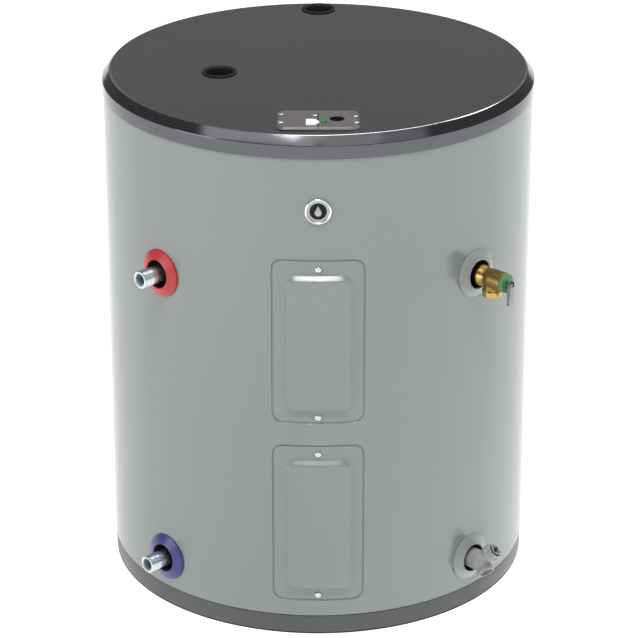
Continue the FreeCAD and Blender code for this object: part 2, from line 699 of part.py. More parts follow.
# ---- Access covers -------------------------------------------------------------------------------
def raised_block(middle, inset):
    """Bevelled block on the front, following the jacket's curve, where inset shrinks it on every face."""
    low = middle + RAISED_LOW + inset
    high = middle + RAISED_HIGH - inset
    top_r = RAISED_R - inset
    foot_r = COVER_FACE_R - inset
    back_r = COVER_BACK_R - 20
    bevelled = turned([(back_r, low), (foot_r, low), (top_r, low + RAISED_BEVEL_Z),
                       (top_r, high - RAISED_BEVEL_Z), (foot_r, high), (back_r, high)])
    half = RAISED_HALF_W - inset
    foot_y = -math.sqrt(foot_r ** 2 - half ** 2)
    top_y = foot_y - (RAISED_R - COVER_FACE_R)
    slope = RAISED_BEVEL_X / (foot_y - top_y)
    nose = 12.0
    wedge = [(-half, foot_y + 60), (-half, foot_y), (-half + slope * nose, foot_y - nose),
             (half - slope * nose, foot_y - nose), (half, foot_y), (half, foot_y + 60)]
    corners = [V(x, y, low) for x, y in wedge]
    sides = Part.Face(Part.makePolygon(corners + corners[:1])).extrude(V(0, 0, high - low))
    outline = front_prism(half, low, high, RAISED_CORNER)
    return bevelled.common(sides).common(outline)


def access_cover(which):
    middle = COVER_CENTRES[which]
    plate = curved_panel(COVER_BACK_R, COVER_FACE_R, COVER_HALF_W, middle - COVER_HALF_H,
                         middle + COVER_HALF_H, COVER_CORNER)
    shape = union([plate, raised_block(middle, 0)]).cut(raised_block(middle, SHEET))
    behind = cylinder(COVER_BACK_R, middle - COVER_HALF_H, middle + COVER_HALF_H)
    holes = [to_front(cylinder(SCREW_R, TANK_R, JACKET_R + 5), middle + z)
             for z in (COVER_SCREW_HIGH, COVER_SCREW_LOW)]
    return cut_all(shape, [behind] + holes)


def cover_screws(which):
    middle = COVER_CENTRES[which]
    screw = moved(pan_screw(SCREW_LENGTH), z=COVER_FACE_R)
    return Part.makeCompound([to_front(screw, middle + z) for z in (COVER_SCREW_HIGH, COVER_SCREW_LOW)])


def insulation_pad(which):
    middle = COVER_CENTRES[which]
    pad = block((-PAD_HALF_W, PAD_HALF_W), (-PAD_FRONT, -PAD_BACK),
                (middle + PAD_LOW, middle + PAD_HIGH))
    return rounded(pad, 6, Y_AXIS)


# ---- Elements and thermostats --------------------------------------------------------------------
def element_head(which):
    thread_end = ELEMENT_SPUD_OUT + GASKET_T
    thread = cylinder(ELEMENT_THREAD_R, SPUD_IN, thread_end)
    nut = hexagon(HEX_FLATS, thread_end, thread_end + HEX_T)
    terminal_block = cylinder(BLOCK_R, thread_end + HEX_T, ELEMENT_FACE)
    return to_front(union([thread, nut, terminal_block]), COVER_CENTRES[which] - ELEMENT_DROP)


def element_gaskets():
    ring = tube(GASKET_R, ELEMENT_THREAD_R, ELEMENT_SPUD_OUT, ELEMENT_SPUD_OUT + GASKET_T)
    return Part.makeCompound([to_front(ring, z - ELEMENT_DROP) for z in COVER_CENTRES.values()])


def element_sheath(which):
    """Hairpin heating rod that reaches across the tank."""
    z = COVER_CENTRES[which] - ELEMENT_DROP
    straight_end = -SPUD_IN + SHEATH_REACH
    top = z + SHEATH_HALF_GAP
    bottom = z - SHEATH_HALF_GAP
    path = Part.Wire([Part.LineSegment(V(0, -SPUD_IN, top), V(0, straight_end, top)).toShape(),
                      Part.Arc(V(0, straight_end, top), V(0, straight_end + SHEATH_HALF_GAP, z),
                               V(0, straight_end, bottom)).toShape(),
                      Part.LineSegment(V(0, straight_end, bottom), V(0, -SPUD_IN, bottom)).toShape()])
    section = Part.Wire(Part.makeCircle(SHEATH_R, V(0, -SPUD_IN, top), Y_AXIS))
    return path.makePipeShell([section], True, False)


def thermostat(which):
    """Moulded control with a step for the dial and, on the upper one, a cut-out section above."""
    middle = COVER_CENTRES[which]
    has_cutout = which == "upper"
    top = CUTOUT_SECTION_HIGH if has_cutout else DIAL_SECTION_HIGH
    base = rounded(block((-THERMOSTAT_HALF_W, THERMOSTAT_HALF_W),
                         (-THERMOSTAT_FACE + 6, -THERMOSTAT_BACK),
                         (middle + THERMOSTAT_LOW, middle + top)), 3, Y_AXIS)
    core = rounded(block((-THERMOSTAT_HALF_W + 4, THERMOSTAT_HALF_W - 4),
                         (-THERMOSTAT_FACE, -THERMOSTAT_FACE + 7),
                         (middle + THERMOSTAT_LOW + 2, middle + top - 2)), 2, Y_AXIS)
    shaft_hole = cylinder(DIAL_SHAFT_R + RUNNING, THERMOSTAT_FACE - 8, THERMOSTAT_FACE + 1)
    cuts = [to_front(shaft_hole, middle + DIAL_Z)]
    if has_cutout:
        well_floor = THERMOSTAT_FACE - 6 - RESET_TRAVEL - 0.5
        well = cylinder(RESET_R + 0.1, well_floor, THERMOSTAT_FACE + 1)
        cuts.append(to_front(well, middle + RESET_Z))
        groove_z = middle + DIAL_SECTION_HIGH
        cuts.append(block((-THERMOSTAT_HALF_W, THERMOSTAT_HALF_W),
                          (-THERMOSTAT_FACE - 1, -THERMOSTAT_FACE + 2), (groove_z - 1.5, groove_z + 1.5)))
    return cut_all(union([base, core]), cuts)


def thermostat_brackets():
    """Spring clips that hold each thermostat flat against the tank."""
    clips = []
    clip_t = 0.8
    half = THERMOSTAT_HALF_W + 0.2
    back = THERMOSTAT_BACK - 0.1 - clip_t
    for middle in COVER_CENTRES.values():
        low = middle + THERMOSTAT_LOW + 6
        strap = block((-half - clip_t, half + clip_t), (-back - clip_t, -back), (low, low + 24))
        ears = [block(x_range, (-THERMOSTAT_FACE + 4, -back), (low, low + 24))
                for x_range in ((-half - clip_t, -half), (half, half + clip_t))]
        clips.append(union([strap] + ears))
    return Part.makeCompound(clips)


def thermostat_dial(which):
    """Round dial with a screwdriver slot and a pointer notch, on a short shaft."""
    low = THERMOSTAT_FACE + GAP
    face = low + DIAL_T
    disc = turned([(0, low), (DIAL_R, low), (DIAL_R, face - 0.8), (DIAL_R - 0.8, face), (0, face)])
    shaft = cylinder(DIAL_SHAFT_R, THERMOSTAT_FACE - 7, low + 1)
    cuts = [block((-5, 5), (-0.8, 0.8), (face - 1.6, face + 1)),
            block((-0.6, 0.6), (DIAL_R - 2.2, DIAL_R + 1), (face - 1.2, face + 1))]
    return to_front(cut_all(union([disc, shaft]), cuts), COVER_CENTRES[which] + DIAL_Z)


def reset_button():
    low = THERMOSTAT_FACE - 6
    face = THERMOSTAT_FACE + 4
    button = turned([(0, low), (RESET_R, low), (RESET_R, face - 0.8), (RESET_R - 0.8, face), (0, face)])
    return to_front(button, UPPER_COVER_Z + RESET_Z)


def terminal_places():
    """Every electrical screw as (x, z, distance of its seat from the tank's axis)."""
    places = []
    for which, middle in COVER_CENTRES.items():
        top = CUTOUT_SECTION_HIGH if which == "upper" else DIAL_SECTION_HIGH
        for x in (-TERMINAL_X, TERMINAL_X):
            places.append((x, middle + top - 8, THERMOSTAT_FACE))
            places.append((x, middle + THERMOSTAT_LOW + 8, THERMOSTAT_FACE))
        for x in (-ELEMENT_TERMINAL_X, ELEMENT_TERMINAL_X):
            places.append((x, middle - ELEMENT_DROP, ELEMENT_FACE))
    return places


def terminal_screws():
    screws = []
    for x, z, seat in terminal_places():
        head = cylinder(TERMINAL_R, seat, seat + TERMINAL_H)
        slot = block((-TERMINAL_R, TERMINAL_R), (-0.5, 0.5), (seat + TERMINAL_H - 1, seat + TERMINAL_H + 1))
        screws.append(moved(to_front(head.cut(slot), z), x=x))
    return Part.makeCompound(screws)


def wire(points):
    return swept_round([V(*point) for point in points], WIRE_R, WIRE_BEND)


def supply_wire(side):
    """From the junction box down to the upper thermostat's top terminal."""
    x = 5.5 * side
    front = -THERMOSTAT_FACE - WIRE_R - 0.5
    end_z = UPPER_COVER_Z + CUTOUT_SECTION_HIGH - 8 + TERMINAL_R + 0.2
    return wire([(x, -279, 800), (x, -279, 760), (x, front, 715), (x, front, 620),
                 (TERMINAL_X * side, front, 590), (TERMINAL_X * side, front, end_z)])


def element_lead(which, side):
    """From a thermostat's lower terminal to the element below it."""
    middle = COVER_CENTRES[which]
    start_z = middle + THERMOSTAT_LOW + 8 - TERMINAL_R - 0.2
    end_z = middle - ELEMENT_DROP + TERMINAL_R + 0.2
    front = -THERMOSTAT_FACE - WIRE_R - 0.5
    near = -ELEMENT_FACE - WIRE_R - 0.2
    return wire([(TERMINAL_X * side, front, start_z), (TERMINAL_X * side, front, start_z - 16),
                 (ELEMENT_TERMINAL_X * side, near, end_z + 16), (ELEMENT_TERMINAL_X * side, near, end_z)])


def feed_to_lower_thermostat():
    front = -THERMOSTAT_FACE - WIRE_R - 0.5
    start_z = UPPER_COVER_Z + THERMOSTAT_LOW + 8 - TERMINAL_R - 0.2
    end_z = LOWER_COVER_Z + DIAL_SECTION_HIGH - 8 + TERMINAL_R + 0.2
    return wire([(TERMINAL_X, front, start_z), (TERMINAL_X, front, start_z - 14), (33, front, start_z - 40),
                 (33, front, 400), (10, -302, 368), (10, -302, 312), (TERMINAL_X, front, 286),
                 (TERMINAL_X, front, end_z)])


def feed_to_lower_element():
    near = -ELEMENT_FACE - WIRE_R - 0.2
    start_z = UPPER_COVER_Z - ELEMENT_DROP - TERMINAL_R - 0.2
    end_z = LOWER_COVER_Z - ELEMENT_DROP + TERMINAL_R + 0.2
    x = -ELEMENT_TERMINAL_X
    side = -THERMOSTAT_HALF_W - 12
    return wire([(x, near, start_z), (x, near, start_z - 18), (-10, -302, 368), (-10, -302, 312),
                 (side, -302, 270), (side, -302, 165), (x, near, end_z + 16), (x, near, end_z)])


def black_wires():
    return Part.makeCompound([supply_wire(1), feed_to_lower_thermostat(), element_lead("lower", 1)])


def red_wires():
    return Part.makeCompound([supply_wire(-1), element_lead("upper", -1), feed_to_lower_element()])


# ---- Lid fittings --------------------------------------------------------------------------------
def anode_rod():
    head = hexagon(ANODE_FLATS, ANODE_SPUD_TOP, ANODE_HEAD_TOP)
    plug = cylinder(PIPE_SHANK_R, ANODE_SPUD_TOP - 22, ANODE_SPUD_TOP)
    rod = cylinder(ANODE_R, ANODE_SPUD_TOP - 22 - ANODE_LENGTH, ANODE_SPUD_TOP - 21)
    return moved(union([head, plug, rod]), *ANODE_XY)


def lid_port_grommets():
    """Soft lipped rings that line the two round holes in the lid."""
    outline = [(GROMMET_BORE_R, LID_INSIDE - 6), (LID_PORT_R, LID_INSIDE - 6), (LID_PORT_R, LID_TOP),
               (GROMMET_R, LID_TOP), (GROMMET_R, LID_TOP + 0.8), (GROMMET_R - 0.9, LID_TOP + 1.8),
               (GROMMET_R - 2.4, LID_TOP + GROMMET_RISE), (GROMMET_BORE_R + 1.6, LID_TOP + 1.8),
               (GROMMET_BORE_R + 0.5, LID_TOP + 0.9), (GROMMET_BORE_R, LID_TOP - 0.6)]
    ring = turned(outline)
    return Part.makeCompound([moved(ring, *place) for place in (ANODE_XY, FOAM_PORT_XY)])


def foam_port_plug():
    """Push-in plug with a gripping hexagon, below the lid."""
    low = FOAM_PLUG_TOP - 14
    cup = turned([(0, low), (GROMMET_BORE_R - 1.5, low), (GROMMET_BORE_R, low + 4),
                  (GROMMET_BORE_R, FOAM_PLUG_TOP), (GROMMET_BORE_R - 2, FOAM_PLUG_TOP),
                  (GROMMET_BORE_R - 2, low + 3), (0, low + 3)])
    grip = hexagon(20, low + 2, FOAM_PLUG_TOP - 3)
    return moved(union([cup, grip]), *FOAM_PORT_XY)


def junction_box():
    x_range = (-BOX_HALF_X, BOX_HALF_X)
    y_range = (BOX_FRONT, BOX_BACK)
    outside = rounded(block(x_range, y_range, (BOX_FLOOR, LID_INSIDE)), BOX_CORNER, Z_AXIS)
    inside = rounded(block((x_range[0] + SHEET, x_range[1] - SHEET),
                           (y_range[0] + SHEET, y_range[1] - SHEET),
                           (BOX_FLOOR + SHEET, LID_INSIDE + 5)), BOX_CORNER - SHEET, Z_AXIS)
    flange = rounded(block((x_range[0] - BOX_FLANGE, x_range[1] + BOX_FLANGE),
                           (y_range[0] - BOX_FLANGE, y_range[1] + BOX_FLANGE),
                           (LID_INSIDE - SHEET, LID_INSIDE)), BOX_CORNER + 4, Z_AXIS)
    cuts = [inside, cylinder(10, BOX_FLOOR - 1, BOX_FLOOR + 5, 0, -277)]
    for place in COVER_SCREWS_XY + PLATE_SCREWS_XY:
        cuts.append(cylinder(SCREW_HOLE_R, LID_INSIDE - 5, LID_INSIDE + 5, *place))
    return cut_all(union([outside, flange]), cuts)


def cover_tray(inset, bottom):
    """Shallow bevelled tray that spans both halves of the junction box's cover."""
    tray = block((-JUNCTION_X + inset, JUNCTION_X - inset), (JUNCTION_FRONT + inset, JUNCTION_BACK - inset),
                 (bottom, LID_TOP + JUNCTION_RISE - inset))
    tray = rounded(tray, JUNCTION_CORNER - inset, Z_AXIS)
    top_z = LID_TOP + JUNCTION_RISE - inset
    top_edges = [e for e in tray.Edges if all(abs(v.Z - top_z) < 0.01 for v in e.Vertexes)]
    return tray.makeChamfer(JUNCTION_BEVEL, top_edges)


def cover_half(side, bottom):
    shell = cover_tray(0, bottom).cut(cover_tray(SHEET, bottom - 5))
    keep = (SPLIT_HALF, 100) if side > 0 else (-100, -SPLIT_HALF)
    return shell.common(block(keep, (-400, -100), (LID_TOP - 5, LID_TOP + 20)))


def junction_cover():
    holes = [cylinder(SCREW_R, LID_TOP, LID_TOP + 10, *place)
             for place in COVER_SCREWS_XY + (CENTRE_SCREW_XY,)]
    return cut_all(cover_half(-1, LID_TOP + GAP), holes)


def conduit_plate():
    holes = [cylinder(SCREW_R, LID_TOP, LID_TOP + 10, *place) for place in PLATE_SCREWS_XY]
    holes.append(cylinder(SCREW_R, LID_TOP, LID_TOP + 10, *GROUND_XY))
    holes.append(cylinder(KNOCKOUT_R, LID_TOP, LID_TOP + 10, *KNOCKOUT_XY))
    return cut_all(cover_half(1, LID_TOP), holes)


def lid_screws(places, length):
    return Part.makeCompound([moved(pan_screw(length), *place, LID_TOP + JUNCTION_RISE)
                              for place in places])


def junction_cover_screws():
    edge = lid_screws(COVER_SCREWS_XY, SCREW_LENGTH)
    centre = lid_screws((CENTRE_SCREW_XY,), 5.0)
    return Part.makeCompound([edge, centre])


def conduit_plate_screws():
    return lid_screws(PLATE_SCREWS_XY, SCREW_LENGTH)


def ground_screw():
    """Hex-washer screw for the earth wire."""
    top = LID_TOP + JUNCTION_RISE
    washer = cylinder(5.6, top, top + 0.9)
    head = hexagon(8.0, top + 0.8, top + 4.2)
    slot = block((-5, 5), (-0.6, 0.6), (top + 3.2, top + 5))
    shank = cylinder(SCREW_R, top - 5, top + 0.5)
    return moved(union([washer, head, shank]).cut(slot), *GROUND_XY)


def label_tag():
    """Blank pointed tag beside the earth screw."""
    low = LID_TOP + JUNCTION_RISE
    outline = [(-18, -294.6), (-4, -294.6), (1.8, -284), (-4, -272.6), (-18, -272.6)]
    corners = [V(x, y, low) for x, y in outline]
    return Part.Face(Part.makePolygon(corners + corners[:1])).extrude(V(0, 0, 2.2))


# ---- Badge ---------------------------------------------------------------------------------------
def badge_ring():
    face = JACKET_R
    ring = turned([(BADGE_FACE_R, face - 1), (BADGE_R, face - 1), (BADGE_R, face + 1.9),
                   (BADGE_R - 0.6, face + 2.9), (BADGE_R - 1.5, face + 3.2),
                   (BADGE_R - 2.4, face + 2.9), (BADGE_FACE_R, face + 2.1)])
    return to_front(ring, BADGE_Z).cut(cylinder(JACKET_R, 0, LID_TOP))


def badge_face():
    """Disc with a plain raised water drop."""
    face = JACKET_R
    disc = cylinder(BADGE_FACE_R, face - 1, face + 1.4)
    bulb_r = 6.0
    bulb_y = -3.0
    tip_y = 10.0
    tangent = math.acos(bulb_r / (tip_y - bulb_y))
    side_x = bulb_r * math.sin(tangent)
    side_y = bulb_y + bulb_r * math.cos(tangent)
    level = face + 1.3
    left = V(-side_x, side_y, level)
    right = V(side_x, side_y, level)
    tip = V(0, tip_y, level)
    drop_edges = [Part.LineSegment(left, tip).toShape(), Part.LineSegment(tip, right).toShape(),
                  Part.Arc(right, V(0, bulb_y - bulb_r, level), left).toShape()]
    drop = Part.Face(Part.Wire(drop_edges)).extrude(V(0, 0, 0.8))
    return to_front(union([disc, drop]), BADGE_Z).cut(cylinder(JACKET_R, 0, LID_TOP))


NODES = {
    "jacket": jacket,
    "top_lid": lid,
    "base_pan": base_pan,
    "foam_insulation": foam_insulation,
    "inner_tank": inner_tank,
    "tank_spuds": tank_spuds,
    "hot_nipple": lambda: nipple("hot"),
    "cold_nipple": lambda: nipple("cold"),
    "nipple_liners": nipple_liners,
    "hot_outlet_tube": hot_outlet_tube,
    "cold_inlet_diffuser": cold_inlet_diffuser,
    "hot_escutcheon": lambda: escutcheon("hot"),
    "cold_escutcheon": lambda: escutcheon("cold"),
    "relief_escutcheon": lambda: escutcheon("relief"),
    "drain_escutcheon": lambda: escutcheon("drain"),
    "port_foam_dams": port_foam_dams,
    "relief_valve_body": relief_valve_body,
    "relief_valve_cap": relief_valve_cap,
    "relief_disc": relief_disc,
    "relief_stem": relief_stem,
    "relief_spring": relief_spring,
    "relief_probe": relief_probe,
    "relief_lever": relief_lever,
    "relief_lever_pin": relief_lever_pin,
    "drain_valve_body": drain_valve_body,
    "drain_washer": drain_washer,
    "drain_stem": drain_stem,
    "drain_knob": drain_knob,
    "upper_access_cover": lambda: access_cover("upper"),
    "lower_access_cover": lambda: access_cover("lower"),
    "upper_cover_screws": lambda: cover_screws("upper"),
    "lower_cover_screws": lambda: cover_screws("lower"),
    "upper_insulation_pad": lambda: insulation_pad("upper"),
    "lower_insulation_pad": lambda: insulation_pad("lower"),
    "upper_element_head": lambda: element_head("upper"),
    "lower_element_head": lambda: element_head("lower"),
    "upper_element_sheath": lambda: element_sheath("upper"),
    "lower_element_sheath": lambda: element_sheath("lower"),
    "element_gaskets": element_gaskets,
    "upper_thermostat": lambda: thermostat("upper"),
    "lower_thermostat": lambda: thermostat("lower"),
    "thermostat_brackets": thermostat_brackets,
    "upper_thermostat_dial": lambda: thermostat_dial("upper"),
    "lower_thermostat_dial": lambda: thermostat_dial("lower"),
    "reset_button": reset_button,
    "terminal_screws": terminal_screws,
    "black_wires": black_wires,
    "red_wires": red_wires,
    "anode_rod": anode_rod,
    "lid_port_grommets": lid_port_grommets,
    "foam_port_plug": foam_port_plug,
    "junction_box": junction_box,
    "junction_cover": junction_cover,
    "junction_cover_screws": junction_cover_screws,
    "conduit_plate": conduit_plate,
    "conduit_plate_screws": conduit_plate_screws,
    "ground_screw": ground_screw,
    "label_tag": label_tag,
    "badge_ring": badge_ring,
    "badge_face": badge_face,
}


def main():
    os.makedirs("parts", exist_ok=True)
    for name, make in NODES.items():
        shape = make()
        assert shape.isValid(), name + " is not a valid shape"
        assert shape.Solids, name + " has no solid"
        shape.exportStep(os.path.join("parts", name + ".step"))
        print(name, len(shape.Solids), round(shape.Volume / 1000, 2), "cm3")


main()
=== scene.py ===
import cmath
import json
import math

import bmesh
import bpy
import numpy as np
from mathutils import Matrix, Vector, geometry


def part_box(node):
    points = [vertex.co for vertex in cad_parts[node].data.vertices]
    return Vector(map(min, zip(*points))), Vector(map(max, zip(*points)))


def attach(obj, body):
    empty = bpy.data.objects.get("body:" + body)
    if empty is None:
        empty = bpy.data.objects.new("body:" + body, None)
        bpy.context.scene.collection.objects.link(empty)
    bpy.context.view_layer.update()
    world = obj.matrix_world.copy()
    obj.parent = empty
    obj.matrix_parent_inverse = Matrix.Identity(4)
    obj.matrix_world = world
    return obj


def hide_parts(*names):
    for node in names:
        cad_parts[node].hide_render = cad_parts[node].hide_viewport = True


# A lowboy tank water heater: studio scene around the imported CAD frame, in metres.

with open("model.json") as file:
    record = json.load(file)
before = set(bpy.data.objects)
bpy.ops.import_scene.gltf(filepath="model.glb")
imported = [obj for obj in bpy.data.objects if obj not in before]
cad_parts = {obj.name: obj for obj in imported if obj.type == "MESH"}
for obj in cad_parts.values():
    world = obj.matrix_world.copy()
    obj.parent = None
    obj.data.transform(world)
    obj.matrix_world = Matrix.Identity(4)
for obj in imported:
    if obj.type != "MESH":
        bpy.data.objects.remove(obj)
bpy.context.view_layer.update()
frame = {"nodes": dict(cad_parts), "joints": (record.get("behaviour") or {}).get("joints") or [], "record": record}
MM = 0.001


# ---- Materials ----
def node_material(name):
    """An empty node material with its Principled shader."""
    material = bpy.data.materials.new(name)
    material.use_nodes = True
    return material, material.node_tree, material.node_tree.nodes["Principled BSDF"]


def noise(tree, scale, detail=3.0, stretch=(1, 1, 1)):
    """Noise in the object's own space, stretched along an axis where the finish has a grain."""
    coords = tree.nodes.new("ShaderNodeTexCoord")
    mapping = tree.nodes.new("ShaderNodeMapping")
    mapping.inputs["Scale"].default_value = stretch
    texture = tree.nodes.new("ShaderNodeTexNoise")
    texture.inputs["Scale"].default_value = scale
    texture.inputs["Detail"].default_value = detail
    tree.links.new(coords.outputs["Object"], mapping.inputs["Vector"])
    tree.links.new(mapping.outputs["Vector"], texture.inputs["Vector"])
    return texture.outputs["Fac"]


def spread(tree, value, low, high):
    """A noise value's middle stretched to run from low to high."""
    node = tree.nodes.new("ShaderNodeMapRange")
    node.inputs["From Min"].default_value = 0.3
    node.inputs["From Max"].default_value = 0.7
    node.inputs["To Min"].default_value = low
    node.inputs["To Max"].default_value = high
    tree.links.new(value, node.inputs["Value"])
    return node.outputs["Result"]


def finish_material(name, colour, vary=0.05, roughness=0.4, rough_vary=0.06, metallic=0.0,
                    grain=900, bump=0.05, blotch=50, stretch=(1, 1, 1), specular=0.5):
    """Finish with mottled colour, uneven gloss and a fine surface texture."""
    material, tree, shader = node_material(name)
    darker = [c * (1 - vary) for c in colour]
    lighter = [min(1.0, c * (1 + vary)) for c in colour]
    mix = tree.nodes.new("ShaderNodeMix")
    mix.data_type = "RGBA"
    mix.inputs[6].default_value = (*darker, 1)
    mix.inputs[7].default_value = (*lighter, 1)
    tree.links.new(spread(tree, noise(tree, blotch, 5.0, stretch), 0, 1), mix.inputs[0])
    tree.links.new(mix.outputs[2], shader.inputs["Base Color"])
    gloss = spread(tree, noise(tree, blotch * 3, 4.0, stretch), roughness - rough_vary,
                   roughness + rough_vary)
    tree.links.new(gloss, shader.inputs["Roughness"])
    height = tree.nodes.new("ShaderNodeBump")
    height.inputs["Strength"].default_value = bump
    height.inputs["Distance"].default_value = 0.001
    tree.links.new(noise(tree, grain, 2.0, stretch), height.inputs["Height"])
    tree.links.new(height.outputs["Normal"], shader.inputs["Normal"])
    shader.inputs["Metallic"].default_value = metallic
    shader.inputs["Specular IOR Level"].default_value = specular
    return material


# Material name, colour and finish of each slot, then of three finishes that some pieces have instead.
FINISHES = {
    "jacket_paint": ("jacket_enamel", (0.217, 0.237, 0.230),
        dict(vary=0.015, roughness=0.16, rough_vary=0.02, grain=420, bump=0.02, blotch=3)),
    "lid_paint": ("lid_enamel", (0.124, 0.128, 0.137),
        dict(vary=0.03, roughness=0.11, rough_vary=0.01, metallic=0.95, grain=700, blotch=5)),
    "base_paint": ("base_enamel", (0.073, 0.075, 0.080),
        dict(vary=0.03, roughness=0.34, metallic=0.2, grain=700, blotch=5)),
    "foam": ("poured_foam", (0.62, 0.52, 0.30),
        dict(vary=0.15, roughness=0.95, grain=260, bump=0.6, blotch=40, specular=0.2)),
    # Near-black foam, darkened to paint the shade inside the port and lid-hole cavities.
    "dark_foam": ("shade_black_foam", (0.010, 0.008, 0.009),
        dict(vary=0.2, roughness=0.9, grain=500, bump=0.5, blotch=60, specular=0.2)),
    "tank_steel": ("tank_steel", (0.10, 0.09, 0.085),
        dict(vary=0.2, roughness=0.6, metallic=0.6, grain=300, bump=0.15, blotch=14)),
    "bare_steel": ("bare_steel", (0.42, 0.42, 0.43),
        dict(vary=0.1, roughness=0.38, metallic=1.0, bump=0.08, blotch=60)),
    "zinc_steel": ("zinc_plate", (0.74, 0.82, 0.86), dict(roughness=0.32, metallic=1.0, blotch=70)),
    "liner_plastic": ("pipe_liner", (0.24, 0.33, 0.38), dict(vary=0.06, bump=0.04)),
    "inner_plastic": ("dip_tube", (0.70, 0.70, 0.66), dict(roughness=0.5, grain=700, blotch=30)),
    "red_plastic": ("red_plastic", (0.385, 0.022, 0.025), dict(roughness=0.36, bump=0.04, blotch=40)),
    "blue_plastic": ("blue_plastic", (0.034, 0.034, 0.180), dict(roughness=0.36, bump=0.04, blotch=40)),
    "grey_plastic": ("grey_plastic", (0.232, 0.246, 0.243),
        dict(vary=0.03, roughness=0.36, bump=0.04, blotch=40)),
    "drain_plastic": ("valve_plastic", (0.262, 0.276, 0.270), dict(roughness=0.34, bump=0.06, blotch=60)),
    "brass": ("cast_brass", (0.30, 0.205, 0.066),
        dict(vary=0.14, roughness=0.34, rough_vary=0.1, metallic=1.0, grain=1100, bump=0.25, blotch=90)),
    "green_plastic": ("green_cap", (0.055, 0.20, 0.085), dict(vary=0.08, bump=0.06, blotch=60)),
    "valve_steel": ("lever_steel", (0.30, 0.30, 0.31),
        dict(vary=0.1, roughness=0.3, metallic=1.0, bump=0.06, blotch=70)),
    "black_rubber": ("black_rubber", (0.014, 0.014, 0.015),
        dict(vary=0.15, roughness=0.55, grain=700, bump=0.12, blotch=40, specular=0.25)),
    "pad_fibre": ("glass_fibre", (0.72, 0.62, 0.34),
        dict(vary=0.15, roughness=0.95, grain=420, bump=0.8, blotch=60, stretch=(1, 1, 3), specular=0.2)),
    "copper_sheath": ("copper_sheath", (0.62, 0.30, 0.18),
        dict(vary=0.15, roughness=0.35, metallic=1.0, grain=600, blotch=30)),
    "magnesium": ("magnesium", (0.45, 0.45, 0.44),
        dict(vary=0.12, roughness=0.5, metallic=1.0, grain=400, bump=0.15, blotch=30)),
    "black_phenolic": ("black_phenolic", (0.020, 0.019, 0.018),
        dict(vary=0.15, roughness=0.35, bump=0.08)),
    "dial_plastic": ("dial_plastic", (0.50, 0.50, 0.48), dict(blotch=60)),
    "red_button": ("red_button", (0.62, 0.03, 0.03),
        dict(vary=0.06, roughness=0.3, bump=0.04, blotch=60)),
    "terminal_brass": ("terminal_brass", (0.70, 0.52, 0.24),
        dict(vary=0.1, roughness=0.3, metallic=1.0, bump=0.06, blotch=80)),
    "black_insulation": ("black_wire", (0.020, 0.020, 0.021), dict(vary=0.1, bump=0.04)),
    "red_insulation": ("red_wire", (0.50, 0.03, 0.025), dict(vary=0.08, bump=0.04)),
    "box_steel": ("galvanised_box", (0.50, 0.52, 0.53),
        dict(vary=0.12, metallic=1.0, grain=240, blotch=60)),
    "cover_steel": ("cover_steel", (0.125, 0.117, 0.113),
        dict(vary=0.04, roughness=0.34, metallic=0.25, bump=0.02, stretch=(1, 5, 1))),
    "screw_zinc": ("screw_zinc", (0.78, 0.79, 0.80),
        dict(vary=0.06, roughness=0.2, metallic=1.0, blotch=90)),
    "green_screw": ("green_screw", (0.045, 0.25, 0.07),
        dict(vary=0.1, roughness=0.3, metallic=0.4, bump=0.06, blotch=90)),
    "white_tag": ("white_tag", (0.93, 0.93, 0.92), dict(vary=0.03, roughness=0.5, bump=0.04, blotch=80)),
    "badge_chrome": ("badge_chrome", (0.86, 0.87, 0.88),
        dict(vary=0.03, roughness=0.12, rough_vary=0.03, metallic=1.0, bump=0.02, blotch=80)),
    "badge_black": ("badge_black", (0.010, 0.010, 0.011),
        dict(vary=0.1, roughness=0.25, bump=0.03, blotch=80, specular=0.15)),
    "machined_brass": ("machined_brass", (0.52, 0.345, 0.105),
        dict(vary=0.06, roughness=0.26, rough_vary=0.04, metallic=1.0, grain=1500, bump=0.04, blotch=60)),
    # Lighter, glossier copy of the lid's enamel: a painted highlight line along the lid's rounded edge.
    "painted_highlight_edge": ("painted_highlight_edge", (0.30, 0.31, 0.32),
        dict(vary=0.04, roughness=0.16, metallic=0.9, bump=0.02, blotch=30)),
    "satin_silver": ("satin_silver", (0.40, 0.41, 0.42),
        dict(vary=0.04, roughness=0.38, metallic=0.6, grain=1500, bump=0.03, blotch=60)),
}
MATERIALS = {slot: finish_material(name, colour, **look)
             for slot, (name, colour, look) in FINISHES.items()}


def paint_cad_nodes():
    """Give every CAD node the finish of its material slot in the record."""
    for part in frame["record"]["subparts"]:
        material = MATERIALS[part["material_slot"]]
        for slot in frame["nodes"][part["node"]].material_slots:
            slot.material = material


def add_object(name, data):
    """A new object in the scene."""
    made = bpy.data.objects.new(name, data)
    bpy.context.scene.collection.objects.link(made)
    return made


def clamped(value):
    return max(0.0, min(1.0, value))


# ---- Sizes, in millimetres, from the frame ----
def box_mm(node):
    low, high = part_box(node)
    return low / MM, high / MM


def heading(axis):
    """Angle round the tank from its front, positive towards +X."""
    return math.atan2(axis[0], -axis[1])


